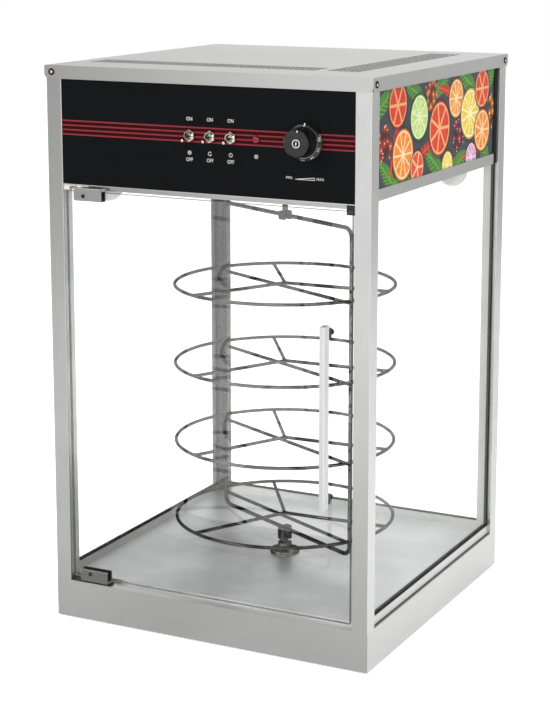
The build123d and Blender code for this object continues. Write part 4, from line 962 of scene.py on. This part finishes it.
class FOODCASE_OT_stage(bpy.types.Operator):
    """Lay the studio floor and set the lamps, the background and the camera"""

    bl_idname = "foodcase.stage"
    bl_label = "Studio"

    def execute(self, context):
        scene = context.scene
        ground = bmesh.new()
        bmesh.ops.create_grid(ground, x_segments=8, y_segments=8, size=9.0)
        # Matt painted studio floor; the camera sees it lifted towards the white background, and shiny
        # surfaces see a painted pool of light glowing on it near the case.
        colour = rgba(scene.food_case_colours.floor)
        material, tree, surface, place = start("pale_floor", Base_Color=colour, Roughness=0.9)
        ray = add(tree, "LightPath", {}, {}).outputs
        straight = {0: ray["Is Camera Ray"], 1: ray["Is Transmission Ray"]}
        seen = add(tree, "Math", "MAXIMUM", straight)
        lift = add(tree, "Math", "MULTIPLY", {0: seen, 1: 0.6})
        away = add(tree, "VectorMath", "LENGTH", {0: place})
        pool = add(tree, "MapRange", {}, {0: away, 1: 2.4, 2: 3.6, 3: 0.42, 4: 0.0})
        mirrored = {0: ray["Is Glossy Ray"], 1: pool, 2: lift}
        shine = add(tree, "Math", "MULTIPLY_ADD", mirrored)
        glow = add(tree, "Emission", {}, {"Color": (1, 1, 1, 1), "Strength": shine})
        both = add(tree, "AddShader", {}, {0: surface, 1: glow})
        fill(tree, tree.nodes["Material Output"], {"Surface": both})
        make_object("studio_floor", ground, material)

        # White to every ray that is seen or mirrored, and greyer as a source of light.
        scene.world = bpy.data.worlds.new("studio")
        scene.world.use_nodes = True
        tree = scene.world.node_tree
        tree.nodes.clear()
        ray = add(tree, "LightPath", {}, {}).outputs
        straight = {0: ray["Is Camera Ray"], 1: ray["Is Transmission Ray"]}
        first = add(tree, "Math", "MAXIMUM", straight)
        seen = add(tree, "Math", "MAXIMUM", {0: first, 1: ray["Is Glossy Ray"]})
        level = add(tree, "MapRange", {}, {0: seen, 3: 0.62, 4: 1.0})
        sky = add(tree, "Background", {}, {"Color": (1, 1, 1, 1), "Strength": level})
        fill(tree, tree.nodes.new("ShaderNodeOutputWorld"), {0: sky})

        # Dark cards at both sides and overhead draw the dark edges along the wires. A grey card and a grey
        # mat darken the front sheets towards the left. A lit card brightens the front right post, and a
        # bright one further forward gives the wires their pale middle.
        card("left_card", (-2.4, -1.6, 0.0), (0.0, 4.2, 0.0), (0.0, 0.0, 3.2), 0.05)
        card("right_card", (3.3, -1.0, 0.0), (0.0, 4.2, 0.0), (0.0, 0.0, 3.2), 0.05)
        card("ceiling_card", (-1.0, -1.8, 1.7), (2.8, 0.0, 0.0), (0.0, 2.6, 0.0), 0.05)
        card("grey_card", (-3.6, -2.0, 0.0), (2.65, 0.0, 0.0), (0.0, 0.0, 1.3), 0.36)
        card("grey_mat", (-2.4, -1.6, 0.002), (2.7, 0.0, 0.0), (0.0, 1.36, 0.0), 0.66)
        card("lit_card", (-0.95, -2.0, 0.0), (0.7, 0.0, 0.0), (0.0, 0.0, 1.2), 0.5, 0.8)
        card("bright_card", (0.41, -3.2, 0.0), (1.79, 0.89, 0.0), (0.0, 0.0, 3.4), 0.5, 1.6)
        soft_lamp("key_lamp", (-1.6, -2.6, 2.6), (0, 0, 0.4), (1.6, 1.6), 60)
        soft_lamp("fill_lamp", (2.6, -0.8, 1.6), (0, 0, 0.4), (1.4, 1.8), 24)
        soft_lamp("top_lamp", (0.2, 0.6, 3.0), (0, 0, 0.5), (2.0, 2.0), 30)

        lens = bpy.data.cameras.new("camera")
        lens.lens = 93.56
        lens.sensor_width = 36.0
        lens.shift_y = -0.1222
        lens.clip_end = 60.0
        camera = bpy.data.objects.new("camera", lens)
        camera.location = (1.1751, -2.3552, 0.9704)
        camera.rotation_euler = (math.radians(90 - 10.635), 0, math.radians(26.832))
        scene.collection.objects.link(camera)
        scene.camera = camera
        scene.view_settings.view_transform = "Standard"
        return {"FINISHED"}


operators = (
    FOODCASE_OT_sheet_metal,
    FOODCASE_OT_glazing,
    FOODCASE_OT_pictures,
    FOODCASE_OT_control_panel,
    FOODCASE_OT_switches,
    FOODCASE_OT_lamps,
    FOODCASE_OT_knob,
    FOODCASE_OT_rack,
    FOODCASE_OT_door,
    FOODCASE_OT_lid_screws,
    FOODCASE_OT_vent_painted_shade,
    FOODCASE_OT_works,
    FOODCASE_OT_stage,
)


class FOODCASE_PT_panel(bpy.types.Panel):
    """Sidebar panel that lists the pieces of the display case"""

    bl_idname = "FOODCASE_PT_panel"
    bl_label = "Food display case"
    bl_space_type = "VIEW_3D"
    bl_region_type = "UI"
    bl_category = "Food case"

    def draw(self, context):
        layout = self.layout
        for settings in (context.scene.food_case_colours, context.scene.food_case_sizes):
            box = layout.box()
            for name in settings.__annotations__:
                box.prop(settings, name)
        for operator in operators:
            layout.operator(operator.bl_idname)


classes = (FoodCaseColours, FoodCaseSizes, *operators, FOODCASE_PT_panel)


def register():
    for entry in classes:
        bpy.utils.register_class(entry)
    bpy.types.Scene.food_case_colours = PointerProperty(type=FoodCaseColours)
    bpy.types.Scene.food_case_sizes = PointerProperty(type=FoodCaseSizes)


def unregister():
    del bpy.types.Scene.food_case_sizes
    del bpy.types.Scene.food_case_colours
    for entry in reversed(classes):
        bpy.utils.unregister_class(entry)


def main():
    register()
    finishes.update(build_finishes())
    for operator in operators:
        group, name = operator.bl_idname.split(".")
        getattr(getattr(bpy.ops, group), name)()


if __name__ == "__main__":
    main()
